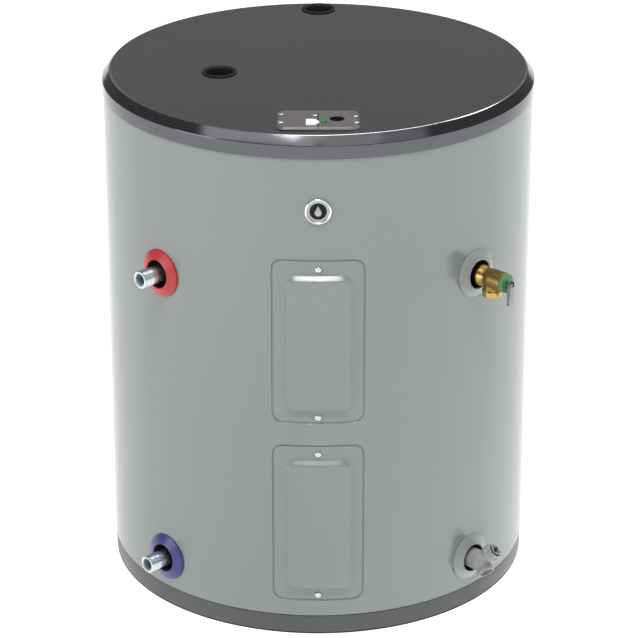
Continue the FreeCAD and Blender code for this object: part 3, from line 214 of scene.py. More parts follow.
MOUNTS = {mount["name"]: mount for mount in frame["record"]["mounts"]}
JOINTS = {joint["name"]: joint for joint in frame["joints"]}
JACKET_LOW, JACKET_HIGH = box_mm("jacket")
LID_LOW, LID_HIGH = box_mm("top_lid")
BASE_HIGH = box_mm("base_pan")[1]
WALL_R = JACKET_HIGH.x
SHEET = 1.0
UPPER_PORT_Z = MOUNTS["hot_outlet"]["pos_m"][2] / MM
LOWER_PORT_Z = MOUNTS["cold_inlet"]["pos_m"][2] / MM
PORTS = {
    "hot": (heading(MOUNTS["hot_outlet"]["axis"]), UPPER_PORT_Z),
    "cold": (heading(MOUNTS["cold_inlet"]["axis"]), LOWER_PORT_Z),
    "relief": (heading(JOINTS["relief_stem_lift"]["axis"]), UPPER_PORT_Z),
    "drain": (-heading(MOUNTS["cold_inlet"]["axis"]), LOWER_PORT_Z),
}
PORT_HOLE_R = 30.0


def facing(angle, height=0.0):
    """Frame whose Z points straight out of the tank, with Y up, at an angle round it."""
    out = Vector((math.sin(angle), -math.cos(angle), 0))
    side = Vector((math.cos(angle), math.sin(angle), 0))
    turn = Matrix((side, Vector((0, 0, 1)), out)).transposed().to_4x4()
    return Matrix.Translation((0, 0, height)) @ turn


def pointing(axis, origin):
    """Frame whose Z points along an axis, with its X level."""
    out = Vector(axis).normalized()
    side = Vector((0, 0, 1)).cross(out).normalized()
    turn = Matrix((side, out.cross(side), out)).transposed().to_4x4()
    return Matrix.Translation(origin) @ turn


PORT_FRAMES = {port: facing(*place) for port, place in PORTS.items()}


# ---- Outlines, as complex numbers ----
def arc_corners(corners, steps=5):
    """Closed outline from (x, y, radius) corners, where each radius is an arc."""
    outline = []
    spots = [complex(x, y) for x, y, _ in corners]
    for i, (_, _, radius) in enumerate(corners):
        here = spots[i]
        if radius == 0:
            outline.append(here)
            continue
        back = spots[i - 1] - here
        ahead = spots[(i + 1) % len(spots)] - here
        back /= abs(back)
        ahead /= abs(ahead)
        half = abs(cmath.phase(ahead / back)) / 2
        setback = radius / math.tan(half)
        centre = here + (back + ahead) / abs(back + ahead) * radius / math.sin(half)
        spoke = here + back * setback - centre
        turn = cmath.phase((here + ahead * setback - centre) / spoke)
        outline += [centre + spoke * cmath.exp(1j * turn * k / steps) for k in range(steps + 1)]
    return outline


def rounded_rect(left, right, low, high, radius, steps=8, side=14):
    """Counter-clockwise rounded rectangle, with points along its straight sides as well."""
    corners = [(right - radius, low + radius, -90), (right - radius, high - radius, 0),
               (left + radius, high - radius, 90), (left + radius, low + radius, 180)]
    arcs = [[complex(x, y) + cmath.rect(radius, math.radians(start + 90 * k / steps))
             for k in range(steps + 1)] for x, y, start in corners]
    outline = []
    for arc, following in zip(arcs, arcs[1:] + arcs[:1]):
        gap = following[0] - arc[-1]
        outline += arc + [arc[-1] + gap * k / side for k in range(1, side)]
    return outline


def circle(centre, radius, points=48):
    return [centre + cmath.rect(radius, math.tau * k / points) for k in range(points)]


def within(points, loops):
    """Which points lie inside an odd number of the loops."""
    odd = np.zeros(len(points), bool)
    for loop in loops:
        for p, q in zip(loop, loop[1:] + loop[:1]):
            rise = q.imag - p.imag or 1.0
            crossing = p.real + (points.imag - p.imag) * (q.real - p.real) / rise
            odd ^= ((p.imag > points.imag) != (q.imag > points.imag)) & (points.real < crossing)
    return odd


# ---- Mesh building, in millimetres ----
WELD = 1e-4                            # points closer than this become one
UPRIGHT = Matrix.Identity(4)


def level(height, place=UPRIGHT):
    """Placer that lays an outline flat at a height in a frame."""
    return lambda p: place @ Vector((p.real, p.imag, height))


def patch(bm, place, outline, holes=(), spacing=None):
    """Triangles that fill an outline round its holes, laid on a surface by place()."""
    loops = [list(outline), *map(list, holes)]
    points = []
    edges = []
    for loop in loops:
        first = len(points)
        points += loop
        edges += [(first + i, first + (i + 1) % len(loop)) for i in range(len(loop))]
    if spacing:
        reals = [p.real for p in outline]
        imags = [p.imag for p in outline]
        across = np.arange(min(reals) + spacing[0] / 2, max(reals), spacing[0])
        along = np.arange(min(imags) + spacing[1] / 2, max(imags), spacing[1])
        grid = np.array([complex(a, b) for a in across for b in along])
        points += list(grid[within(grid, loops)])
    flat = [Vector((p.real, p.imag)) for p in points]
    spots, _, faces = geometry.delaunay_2d_cdt(flat, edges, [], 0, 1e-7)[:3]
    middles = np.array([complex(*(sum((spots[i] for i in face), Vector((0, 0))) / 3))
                        for face in faces])
    kept = [face for face, ok in zip(faces, within(middles, loops)) if ok]
    verts = {i: bm.verts.new(place(complex(*spots[i]))) for face in kept for i in face}
    for face in kept:
        bm.faces.new([verts[i] for i in face])


def loft(bm, loops):
    """Bands between closed loops of equal length, from the outermost to the innermost."""
    rings = [[bm.verts.new(point) for point in loop] for loop in loops]
    for outer, inner in zip(rings, rings[1:]):
        for i in range(len(outer)):
            j = (i + 1) % len(outer)
            bm.faces.new((outer[i], outer[j], inner[j], inner[i]))


def lathe(bm, outline, place, segments=96, closed=True, radius_at=None):
    """Turn an outline of radius and height about Z. radius_at(radius, height, angle) shapes it."""
    rings = []
    for k in range(segments):
        angle = math.tau * k / segments
        ring = []
        for p in outline:
            radius = radius_at(p.real, p.imag, angle) if radius_at else p.real
            ring.append(bm.verts.new(place @ Vector((radius * math.cos(angle),
                                                     radius * math.sin(angle), p.imag))))
        rings.append(ring)
    count = len(outline) if closed else len(outline) - 1
    for ring, following in zip(rings, rings[1:] + rings[:1]):
        for i in range(count):
            j = (i + 1) % len(outline)
            corners = (ring[i], following[i], following[j], ring[j])
            if outline[i].real == 0 and outline[j].real == 0:
                continue
            bm.faces.new(corners)


def thread(bm, place, radius, start, end, pitch, depth, segments=96):
    """Cut thread whose grooves fade out at both ends. A negative depth cuts outwards, as in a bore."""
    steps = round((end - start) / pitch * 8)
    heights = [start + (end - start) * k / steps for k in range(steps + 1)]

    def cut(base, height, angle):
        phase = ((height - start) / pitch - angle / math.tau) % 1.0
        groove = max(0.0, 1 - abs(phase - 0.62) / 0.36)
        fade = min(1.0, (height - start) / pitch, (end - height) / pitch)
        return base - depth * groove * fade

    lathe(bm, [complex(radius, h) for h in heights], place, segments, closed=False, radius_at=cut)


def height_disc(bm, place, radius, height_at, rings=16, segments=48):
    """Round face whose height is a function of x and y."""
    middle = bm.verts.new(place @ Vector((0, 0, height_at(0, 0))))
    loops = []
    for ring in range(1, rings + 1):
        spots = circle(0, radius * ring / rings, segments)
        loops.append([bm.verts.new(place @ Vector((p.real, p.imag, height_at(p.real, p.imag))))
                      for p in spots])
    for i in range(segments):
        j = (i + 1) % segments
        bm.faces.new((middle, loops[0][i], loops[0][j]))
        for inner, outer in zip(loops, loops[1:]):
            bm.faces.new((inner[i], outer[i], outer[j], inner[j]))


def cross_recess(x, y, half, arm, soft):
    """How deep in a cross recess a point is, from 0 outside to 1 on its floor."""
    cross = max(min(half - abs(x), arm - abs(y)), min(half - abs(y), arm - abs(x)))
    return clamped(cross / soft + 0.5)


def blend_solids(bm, voxel, rounds):
    """One skin round overlapping closed solids, with soft fillets where they meet."""
    bmesh.ops.remove_doubles(bm, verts=bm.verts, dist=WELD)
    bmesh.ops.recalc_face_normals(bm, faces=bm.faces)
    mesh = bpy.data.meshes.new("blend")
    bm.to_mesh(mesh)
    rough = add_object("blend", mesh)
    remesh = rough.modifiers.new("skin", "REMESH")
    remesh.mode = "VOXEL"
    remesh.voxel_size = voxel
    smooth = rough.modifiers.new("soften", "SMOOTH")
    smooth.iterations = rounds
    smooth.factor = 0.5
    shaped = rough.evaluated_get(bpy.context.evaluated_depsgraph_get()).to_mesh()
    bm.clear()
    bm.from_mesh(shaped)
    rough.to_mesh_clear()
    bpy.data.objects.remove(rough)
    bpy.data.meshes.remove(mesh)


def steady_wall_normals(mesh):
    """Exact normals where a mesh lies on a cylinder about the tank's axis, for an even sheen."""
    mesh.update()
    normals = []
    for face in mesh.polygons:
        out = Vector((face.center.x, face.center.y, 0)).normalized()
        lean = face.normal.dot(out)
        for i in face.loop_indices:
            if abs(lean) < math.cos(math.radians(4)):
                normals.append((0, 0, 0))
                continue
            spot = mesh.vertices[mesh.loops[i].vertex_index].co
            normals.append(Vector((spot.x, spot.y, 0)).normalized() * math.copysign(1, lean))
    mesh.normals_split_custom_set(normals)


def piece(name, bm, slot, body="heater", nodes=(), sharp=32, wall=False, closed=True, thick=0,
          finish=None):
    """Turn a mesh in millimetres into a finished piece of the object."""
    bmesh.ops.remove_doubles(bm, verts=bm.verts, dist=WELD)
    if closed:
        bmesh.ops.recalc_face_normals(bm, faces=bm.faces)
    if thick:
        bm.normal_update()
        bmesh.ops.solidify(bm, geom=bm.faces[:], thickness=thick)
    bmesh.ops.scale(bm, vec=(MM, MM, MM), verts=bm.verts)
    mesh = bpy.data.meshes.new(name)
    bm.to_mesh(mesh)
    bm.free()
    mesh.shade_smooth()
    mesh.set_sharp_from_angle(angle=math.radians(sharp))
    if wall:
        steady_wall_normals(mesh)
    mesh.materials.append(MATERIALS[finish or slot])
    made = add_object(name, mesh)
    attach(made, body)
    if nodes:
        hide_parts(*nodes)
    return made


# ---- Casing ----
def on_wall(p):
    """A point of the unrolled jacket, laid round the tank."""
    return Vector((WALL_R * math.sin(p.real / WALL_R), -WALL_R * math.cos(p.real / WALL_R), p.imag))


def on_front(radius):
    """Placer that projects x and z straight back onto a cylinder of that radius."""
    return lambda p: Vector((p.real, -math.sqrt(radius ** 2 - p.real ** 2), p.imag))


def unrolled(outline, angle=0.0):
    """An outline seen straight on from an angle round the tank, moved to the unrolled jacket."""
    return [complex(WALL_R * (angle + math.asin(p.real / WALL_R)), p.imag) for p in outline]


RECESS_DEPTH = 2.0
RECESS_WALL = 1.8
COVER_GAP = 1.5
WINDOW_SIDE = 56.0
WINDOW_ABOVE = 111.5
WINDOW_BELOW = 115.5
COVER_CORNER = 14.0
SCREW_ABOVE = 118.0
SCREW_BELOW = 122.7
HOLE_R = 2.5


def cover_shape(which):
    """Half width, low, high and middle height of an access cover."""
    low, high = box_mm(f"{which}_access_cover")
    return high.x, low.z, high.z, (low.z + high.z) / 2


def screw_holes(middle):
    """Outlines of the holes for a cover's two screws."""
    return [circle(complex(0, middle + z), HOLE_R, 24) for z in (SCREW_ABOVE, -SCREW_BELOW)]


def jacket():
    bm = bmesh.new()
    holes = [unrolled(circle(1j * z, PORT_HOLE_R, 64), angle) for angle, z in PORTS.values()]
    for which in ("upper", "lower"):
        half, low, high, middle = cover_shape(which)
        steps = 7
        loops = []
        for k in range(steps + 1):
            share = k / steps
            grow = COVER_GAP + RECESS_WALL * (1 - share)
            sink = RECESS_DEPTH * share * share * (3 - 2 * share)
            shape = rounded_rect(-half - grow, half + grow, low - grow, high + grow, COVER_CORNER + grow)
            if k == 0:
                holes.append(unrolled(shape))
            loops.append([on_front(WALL_R - sink)(p) for p in shape])
        loft(bm, loops)
        window = rounded_rect(-WINDOW_SIDE, WINDOW_SIDE, middle - WINDOW_BELOW, middle + WINDOW_ABOVE, 8)
        patch(bm, on_front(WALL_R - RECESS_DEPTH), shape, [window, *screw_holes(middle)], spacing=(7, 40))
    around = math.pi * WALL_R
    tall = JACKET_HIGH.z - JACKET_LOW.z
    rows = 20
    columns = 160
    edge = [complex(around * (2 * k / columns - 1), JACKET_LOW.z) for k in range(columns)]
    edge += [complex(around, JACKET_LOW.z + tall * k / rows) for k in range(rows)]
    edge += [complex(around * (1 - 2 * k / columns), JACKET_HIGH.z) for k in range(columns)]
    edge += [complex(-around, JACKET_HIGH.z - tall * k / rows) for k in range(rows)]
    patch(bm, on_wall, edge, holes, spacing=(2 * around / columns, tall / rows))
    piece("jacket_shell", bm, "jacket_paint", nodes=["jacket"], wall=True, closed=False, thick=SHEET)


def jacket_seam():
    """Folded lock seam down the back of the jacket."""
    bm = bmesh.new()
    width = 5.5
    rise = 0.9
    section = arc_corners([(-width, WALL_R - 0.8, 0), (-width + 0.5, WALL_R + rise, 0.4),
                           (width - 0.5, WALL_R + rise, 0.4), (width, WALL_R - 0.8, 0)])
    low = JACKET_LOW.z + 0.5
    high = LID_LOW.z + 4
    loft(bm, [[Vector((-p.real, p.imag, z)) for p in section] for z in (low, high)])
    patch(bm, lambda p: Vector((-p.real, p.imag, low)), section)
    patch(bm, lambda p: Vector((-p.real, p.imag, high)), section)
    piece("jacket_seam", bm, "jacket_paint")


LID_FLAT_R = 323.0
LID_CHAMFER_LOW = LID_HIGH.z - 14.0
LID_EDGE_ROUND = 4.5
LID_SKIRT_T = 1.2
LID_PORT_R = 25.0
# The anode's sleeve is near-black to paint the shade inside the lid hole.
SHADE_SLEEVE_FOOT = 786.0                       # foot of the dark sleeve over the anode rod


def middle_of(node):
    """Middle of a node's box, seen from above."""
    low, high = box_mm(node)
    return complex((low.x + high.x) / 2, (low.y + high.y) / 2)


LID_PORTS = {"foam": middle_of("foam_port_plug"), "anode": middle_of("anode_rod")}


def lid():
    bm = bmesh.new()
    top = LID_HIGH.z
    rim = LID_HIGH.x
    segments = 192
    corners = arc_corners([(LID_FLAT_R - 8, top - 30, 0), (LID_FLAT_R - 8, top, 0),
                           (LID_FLAT_R, top, LID_EDGE_ROUND), (rim, LID_CHAMFER_LOW, 1.8),
                           (rim, LID_LOW.z, 0.4), (rim - LID_SKIRT_T, LID_LOW.z, 0)], steps=6)
    lathe(bm, corners[1:-1], UPRIGHT, segments, closed=False)
    flat = circle(0, LID_FLAT_R - 8, segments)
    holes = [circle(middle, LID_PORT_R) for middle in LID_PORTS.values()]
    low, high = box_mm("junction_box")
    flange = 12.0
    holes.append(rounded_rect(low.x + flange, high.x - flange, low.y + flange, high.y - flange, 3, 4, 1))
    patch(bm, level(top), flat, holes)
    piece("lid_pan", bm, "lid_paint", nodes=["top_lid"], thick=LID_SKIRT_T, sharp=50)
    # A thin band over the lid's rounded edge in a lighter, glossier finish paints the highlight line along it.
    band = bmesh.new()
    crest = arc_corners([(LID_FLAT_R - 9, top, 0), (LID_FLAT_R, top, LID_EDGE_ROUND),
                         (rim, LID_CHAMFER_LOW, 0)], steps=10)[2:-2]
    sunk = [p * (1 - 0.3 / abs(p)) for p in crest]
    raised = [complex(p.real + 0.02, p.imag + 0.02) for p in crest]
    lathe(band, raised + sunk[::-1], UPRIGHT, segments)
    piece("lid_highlight_band", band, "lid_paint", finish="painted_highlight_edge")


# Top of the near-black ring that paints the contact shade round the pan's foot.
SHADE_RING_TOP = 2.6


def base_pan():
    """Pan with near-black rings round its foot and in the groove under the jacket's edge, which paint the contact
    shade and the shadow line there.
    """
    bm = bmesh.new()
    rim = BASE_HIGH.x
    inner = WALL_R - SHEET - 0.3
    groove = JACKET_LOW.z - 1.3
    outline = arc_corners([(0, 0, 0), (rim - 6, 0, 0), (rim - 6, SHADE_RING_TOP, 0), (rim, SHADE_RING_TOP, 0.7),
                           (rim, groove, 0.6), (inner, groove, 0), (inner, BASE_HIGH.z, 0.5),
                           (inner - 2, BASE_HIGH.z, 0.5), (inner - 2, 2, 3), (0, 2, 0)], steps=5)
    lathe(bm, outline, UPRIGHT, 192)
    piece("base_tray", bm, "base_paint", nodes=["base_pan"])
    # Near-black rings: painted contact shade round the foot and a painted shadow line in the groove under the
    # jacket's edge.
    dark = bmesh.new()
    foot_shade = arc_corners([(rim - 5.9, 0, 0), (rim - 0.4, 0, 1.2), (rim - 0.1, SHADE_RING_TOP - 0.05, 0.3),
                        (rim - 5.9, SHADE_RING_TOP - 0.05, 0)])
    groove_shade = arc_corners([(inner + 0.1, groove + 0.05, 0), (rim - 1.0, groove + 0.05, 0.2),
                        (rim - 1.0, JACKET_LOW.z - 0.05, 0.2), (inner + 0.1, JACKET_LOW.z - 0.05, 0)])
    for section in (foot_shade, groove_shade):
        lathe(dark, section, UPRIGHT, 192)
    piece("base_painted_shades", dark, "black_rubber")


# ---- Rings round the water connections ----
RING_R = 37.5
RING_BORE_R = 22.2
RING_RISE = 8.6


def port_ring(port, slot):
    bm = bmesh.new()
    face = WALL_R
    outline = arc_corners([(RING_R, face - 4, 0), (RING_R, face + 1.6, 1.0),
                           (RING_BORE_R + 1.4, face + RING_RISE, 1.3), (RING_BORE_R, face + RING_RISE, 0.9),
                           (RING_BORE_R, face - 6, 0), (RING_BORE_R + 1.6, face - 6, 0),
                           (RING_BORE_R + 1.6, face + RING_RISE - 3, 0), (RING_R - 1.6, face - 0.4, 0),
                           (RING_R - 1.6, face - 4, 0)])
    lathe(bm, outline, PORT_FRAMES[port], 120)
    piece(f"{port}_ring", bm, slot, nodes=[f"{port}_escutcheon"])
    # A near-black sleeve inside the ring's bore paints the shade in the cavity.
    sleeve = bmesh.new()
    section = arc_corners([(RING_BORE_R - 0.9, face - 7.2, 0), (RING_BORE_R - 0.1, face - 7.2, 0),
                           (RING_BORE_R - 0.1, face + RING_RISE - 2.6, 0.2),
                           (RING_BORE_R - 0.9, face + RING_RISE - 2.6, 0.4)])
    lathe(sleeve, section, PORT_FRAMES[port], 96)
    piece(f"{port}_ring_shade_sleeve", sleeve, "dark_foam")


# ---- Pipe nipples ----
PIPE_R = MOUNTS["hot_outlet"]["dims"]["r_mm"]
PIPE_SHANK_R = 13.1
PIPE_BORE_R = 10.45
PIPE_IN = 283.0
PIPE_TIP = WALL_R + 41.5
PIPE_PITCH = 25.4 / 14
THREAD_LENGTH = MOUNTS["hot_outlet"]["dims"]["length_mm"]


def nipple(port):
    bm = bmesh.new()
    frame_here = PORT_FRAMES[port]
    start = PIPE_TIP - 0.8 - THREAD_LENGTH
    end = PIPE_TIP - 0.8
    back = [complex(PIPE_BORE_R, PIPE_IN), complex(PIPE_SHANK_R, PIPE_IN),
            complex(PIPE_SHANK_R, start - 0.4), complex(PIPE_R, start)]
    front = [complex(PIPE_R, end), complex(PIPE_R - 0.8, PIPE_TIP), complex(PIPE_BORE_R + 0.5, PIPE_TIP),
             complex(PIPE_BORE_R, PIPE_TIP - 0.6), complex(PIPE_BORE_R, PIPE_IN)]
    lathe(bm, back, frame_here, closed=False)
    thread(bm, frame_here, PIPE_R, start, end, PIPE_PITCH, 0.5)
    lathe(bm, front, frame_here, closed=False)
    piece(f"{port}_pipe_end", bm, "zinc_steel", nodes=[f"{port}_nipple"], sharp=24)


# ---- Relief valve ----
OUTLET_OUT = 33.0
OUTLET_DROP = 26.5
OUTLET_BORE_R = MOUNTS["relief_discharge"]["dims"]["r_mm"]


def relief_valve():
    here = PORT_FRAMES["relief"]
    face = WALL_R
    cast = bmesh.new()
    barrel = arc_corners([(0, face + 20, 0), (14.0, face + 20, 0), (14.2, face + 25, 3),
                          (15.6, face + 34, 9), (15.4, face + 48, 0), (15.3, face + 57.4, 0.8),
                          (0, face + 57.4, 0)])
    lathe(cast, barrel, here, 72)
    down = here @ Matrix.Translation((0, 0, face + OUTLET_OUT)) @ Matrix.Rotation(math.radians(90), 4, "X")
    spout = arc_corners([(0, 0, 0), (13.3, 0, 0), (13.5, 12, 3), (14.3, 16.8, 1), (0, 16.8, 0)])
    lathe(cast, spout, down, 72)
    blend_solids(cast, 0.5, 8)
    piece("relief_casting", cast, "brass", nodes=["relief_valve_body"], closed=False, sharp=60)
    turned = bmesh.new()
    bell = arc_corners([(9.5, face - 8, 0), (13.1, face - 8, 0), (13.1, face + 9, 0), (15.2, face + 9, 0.5),
                        (16.4, face + 10.4, 0.8), (16.4, face + 14.4, 1.6), (14.6, face + 22, 2.6),
                        (14.3, face + 25, 0), (9.5, face + 25, 0)])
    lathe(turned, bell, here)
    collar = [complex(OUTLET_BORE_R, OUTLET_DROP - 1)]
    collar += arc_corners([(13.0, OUTLET_DROP, 0), (OUTLET_BORE_R + 3.05, OUTLET_DROP, 0.8),
                           (OUTLET_BORE_R + 3.05, 18.2, 0.9), (13.9, 15.6, 0), (OUTLET_BORE_R, 15.6, 0)])
    lathe(turned, collar, down, closed=False)
    thread(turned, down, OUTLET_BORE_R, 15.6, OUTLET_DROP - 1, PIPE_PITCH, -0.8)
    piece("relief_machining", turned, "brass", nodes=["relief_valve_body"], sharp=28, finish="machined_brass")
    cap = bmesh.new()
    outline = arc_corners([(2.6, face + 57.5, 0), (14.6, face + 57.5, 0.3), (14.6, face + 62.6, 1.6),
                           (2.6, face + 62.6, 0.3)])

    def grip(radius, height, angle):
        notch = 0.35 if radius > 13.5 and math.cos(24 * angle) > 0.55 else 0.0
        return radius - notch

    lathe(cap, outline, here, 144, radius_at=grip)
    piece("relief_cap", cap, "green_plastic", nodes=["relief_valve_cap"])


# ---- Drain valve ----
HOSE_R = MOUNTS["drain_outlet"]["dims"]["r_mm"]
HOSE_END = 21.0
HOSE_START = 12.0
HOSE_PITCH = 25.4 / 11.5
BONNET_R = 11.8
BONNET_END = 19.0
KNOB_START = 19.4
KNOB_END = 35.0
KNOB_BASE_R = 15.0
KNOB_TIP_R = 10.8


def drain_frames():
    """Frames of the drain valve's knob arm and outlet arm, from its middle."""
    middle = Vector(JOINTS["drain_knob_turn"]["pos_m"]) / MM
    knob = pointing(JOINTS["drain_knob_turn"]["axis"], middle)
    outlet = pointing(MOUNTS["drain_outlet"]["axis"], middle)
    return knob, outlet, middle


def drain_valve():
    knob_arm, outlet_arm, middle = drain_frames()
    here = PORT_FRAMES["drain"]
    reach = (middle - here.translation).dot(here.to_3x3().col[2])
    body = bmesh.new()
    shank = arc_corners([(0, WALL_R - 20, 0), (16, WALL_R - 20, 0), (16, reach - 6, 3), (12, reach, 0),
                         (0, reach, 0)])
    lathe(body, shank, here, 72)
    ball = [complex(17 * math.sin(math.pi * k / 24), -17 * math.cos(math.pi * k / 24)) for k in range(25)]
    ball[0] = complex(0, -17)
    ball[-1] = complex(0, 17)
    lathe(body, ball, knob_arm, 72, closed=False)
    bonnet = arc_corners([(0, 0, 0), (BONNET_R, 0, 0), (BONNET_R, BONNET_END, 1), (0, BONNET_END, 0)])
    lathe(body, bonnet, knob_arm, 72)
    neck = [complex(0, 0), complex(12, 0), complex(12, HOSE_START), complex(0, HOSE_START)]
    lathe(body, neck, outlet_arm, 72)
    blend_solids(body, 0.55, 6)
    piece("drain_body", body, "drain_plastic", nodes=["drain_valve_body"], closed=False, sharp=60)
    spout = bmesh.new()
    bore = 10.5
    tube = 6.6
    lathe(spout, [complex(bore, HOSE_START - 1), complex(HOSE_R - 1.2, HOSE_START - 1),
                  complex(HOSE_R, HOSE_START)], outlet_arm, closed=False)
    thread(spout, outlet_arm, HOSE_R, HOSE_START, HOSE_END - 1.2, HOSE_PITCH, 1.1)
    rim = [complex(HOSE_R, HOSE_END - 1.2)]
    rim += arc_corners([(HOSE_R - 0.9, HOSE_END, 0), (bore, HOSE_END, 0.6), (bore, HOSE_START + 3, 0),
                        (tube + 1.7, HOSE_START + 3, 0), (tube + 1.7, HOSE_END - 2.4, 0.5),
                        (tube, HOSE_END - 2.4, 0.5), (tube, HOSE_START - 1, 0)])
    rim.append(complex(0, HOSE_START - 1))
    lathe(spout, rim, outlet_arm, closed=False)
    piece("drain_spout", spout, "drain_plastic", nodes=["drain_valve_body"], closed=False, sharp=28)


def drain_knob():
    knob_arm = drain_frames()[0]
    bm = bmesh.new()
    outline = arc_corners([(3.4, KNOB_START, 0), (KNOB_BASE_R, KNOB_START, 0.9),
                           (KNOB_BASE_R, KNOB_START + 5.6, 1.2), (KNOB_TIP_R, KNOB_END, 1.6)])[:-1]
    wall = []
    for p, q in zip(outline, outline[1:]):
        pieces = max(1, round(abs(q - p) / 1.2))
        wall += [p + (q - p) * k / pieces for k in range(pieces)]
    wall.append(outline[-1])

    def flute(radius, height, angle):
        rise = clamped((height - KNOB_START - 4.5) / 2.2)
        lobe = max(0.0, math.cos(4 * angle + math.pi)) ** 1.6
        floor = 12.0
        return radius - max(0.0, radius - floor) * lobe * rise

    lathe(bm, wall, knob_arm, 144, closed=False, radius_at=flute)
    tip = wall[-1].real

    def recess(x, y):
        return KNOB_END - 5.0 * cross_recess(x, y, half=2.4, arm=7.0, soft=0.35)

    height_disc(bm, knob_arm, tip, recess, rings=40, segments=144)
    piece("drain_handle", bm, "drain_plastic", body="drain_knob", nodes=["drain_knob"], sharp=40)
    # A near-black lobed plug in the cross recess paints the shade at its floor.
    recess_shade = bmesh.new()

    def lobes(radius, height, angle):
        return radius * (0.68 + 0.32 * math.cos(4 * angle))

    floor = [complex(0, KNOB_END - 1.0), complex(5.2, KNOB_END - 1.0), complex(6.4, KNOB_END - 1.4),
             complex(6.4, KNOB_END - 3.5), complex(0, KNOB_END - 3.5)]
    lathe(recess_shade, floor, knob_arm, 96, closed=False, radius_at=lobes)
    piece("drain_handle_recess_shade", recess_shade, "black_rubber", body="drain_knob", sharp=40)


# ---- Access covers ----
COVER_BACK_R = WALL_R - 1.7
COVER_FACE_R = WALL_R - 0.7
PANEL_R = WALL_R + 6.4
PANEL_HALF = 51.2
PANEL_BELOW = 111.2
PANEL_ABOVE = 107.8
PANEL_CORNER = 15.0
PANEL_SLOPE_X = 5.0
PANEL_SLOPE_Z = 7.0
ROOT_FILLET = 1.3
CREST_FILLET = 1.6
COVER_ROUND = 0.9
PANEL_SHEET = 0.8


def panel_profile(steps=7):
    """How far in (0 to 1) and how far up (0 to 1) the panel's sloping edge runs, with soft bends."""
    rise = PANEL_R - COVER_FACE_R
    run = PANEL_SLOPE_Z
    path = arc_corners([(-4, 0, 0), (0, 0, ROOT_FILLET * 2), (run, rise, CREST_FILLET * 2),
                        (run + 4, rise, 0)], steps)[1:-1]
    return [(p.real / run, p.imag / rise) for p in path]


def panel_ring(middle, share, inset=0.0):
    """Outline of the raised panel at a share of its slope, or inset from it for the back."""
    x = PANEL_HALF - inset - PANEL_SLOPE_X * share
    low = middle - PANEL_BELOW + inset + PANEL_SLOPE_Z * share
    high = middle + PANEL_ABOVE - inset - PANEL_SLOPE_Z * share
    return rounded_rect(-x, x, low, high, max(2.0, PANEL_CORNER - inset - PANEL_SLOPE_X * share))


def access_cover(which):
    half, low, high, middle = cover_shape(which)
    bm = bmesh.new()
    back = rounded_rect(-half, half, low, high, COVER_CORNER)
    loops = [map(on_front(COVER_BACK_R), back)]
    for k in range(6):
        lean = math.radians(90 * k / 5)
        inset = COVER_ROUND * (1 - math.cos(lean))
        drop = COVER_ROUND * (1 - math.sin(lean))
        shape = rounded_rect(-half + inset, half - inset, low + inset, high - inset, COVER_CORNER - inset)
        loops.append(map(on_front(COVER_FACE_R - drop), shape))
    loft(bm, loops)
    profile = panel_profile()
    rise = PANEL_R - COVER_FACE_R
    outside = [panel_ring(middle, share) for share, _ in profile]
    root = outside[0]
    inside = [root] + [panel_ring(middle, share, PANEL_SHEET) for share, _ in profile[1:]]
    for rings, radius in ((outside, COVER_FACE_R), (inside, COVER_BACK_R)):
        loft(bm, [map(on_front(radius + rise * up), ring) for ring, (_, up) in zip(rings, profile)])
    screws = screw_holes(middle)
    for radius, outline, holes in ((COVER_FACE_R, shape, [root, *screws]), (PANEL_R, outside[-1], []),
                                   (COVER_BACK_R, back, [root, *screws]),
                                   (COVER_BACK_R + rise, inside[-1], [])):
        patch(bm, on_front(radius), outline, holes, spacing=(6, 30))
    piece(f"{which}_cover_pressing", bm, "jacket_paint", body=f"{which}_cover",
          nodes=[f"{which}_access_cover"], wall=True, sharp=40)


# ---- Screws ----
HEAD_R = 4.3
HEAD_RISE = 2.6
SHANK_R = 1.9
EDGE_SOFT = 0.16                       # width over which a recess's edge falls away


def screw(bm, here, length):
    """Domed head with a cross recess, standing on the frame's origin, and the shank behind it."""
    face_r = HEAD_R * 0.93

    def height(x, y):
        dome = HEAD_RISE - 0.28 * HEAD_RISE * ((x * x + y * y) / HEAD_R ** 2) ** 2
        return dome - 1.5 * cross_recess(x, y, half=0.55, arm=2.5, soft=EDGE_SOFT)

    height_disc(bm, here, face_r, height, rings=18, segments=64)
    top = height(face_r, 0.01)
    rim = arc_corners([(face_r, top, 0), (HEAD_R, top - 0.25, 0.3), (HEAD_R, 0, 0), (0.4, 0, 0)], 4)
    lathe(bm, rim, here, 64, closed=False)
    shank(bm, here, length)


def shank(bm, here, length):
    """Plain shank behind a head, running back from the frame's origin."""
    tip = [complex(SHANK_R, 0), complex(SHANK_R, -length + SHANK_R), complex(0.3, -length),
           complex(0, -length)]
    lathe(bm, tip, here, 24, closed=False)


def cover_screws(which):
    middle = cover_shape(which)[3]
    bm = bmesh.new()
    depth = box_mm(f"{which}_cover_screws")[1].y
    for z in (middle + SCREW_ABOVE, middle - SCREW_BELOW):
        here = facing(0, z) @ Matrix.Translation((0, 0, COVER_FACE_R))
        screw(bm, here, depth + COVER_FACE_R)
    piece(f"{which}_screw_pair", bm, "screw_zinc", body=f"{which}_cover",
          nodes=[f"{which}_cover_screws"], sharp=28)


# ---- Wiring box cover on the lid ----
PLATE_TOP = LID_HIGH.z + 4.3
PLATE_SHEET = 1.0
PLATE_BEVEL = 3.4
PLATE_CORNER = 13.0


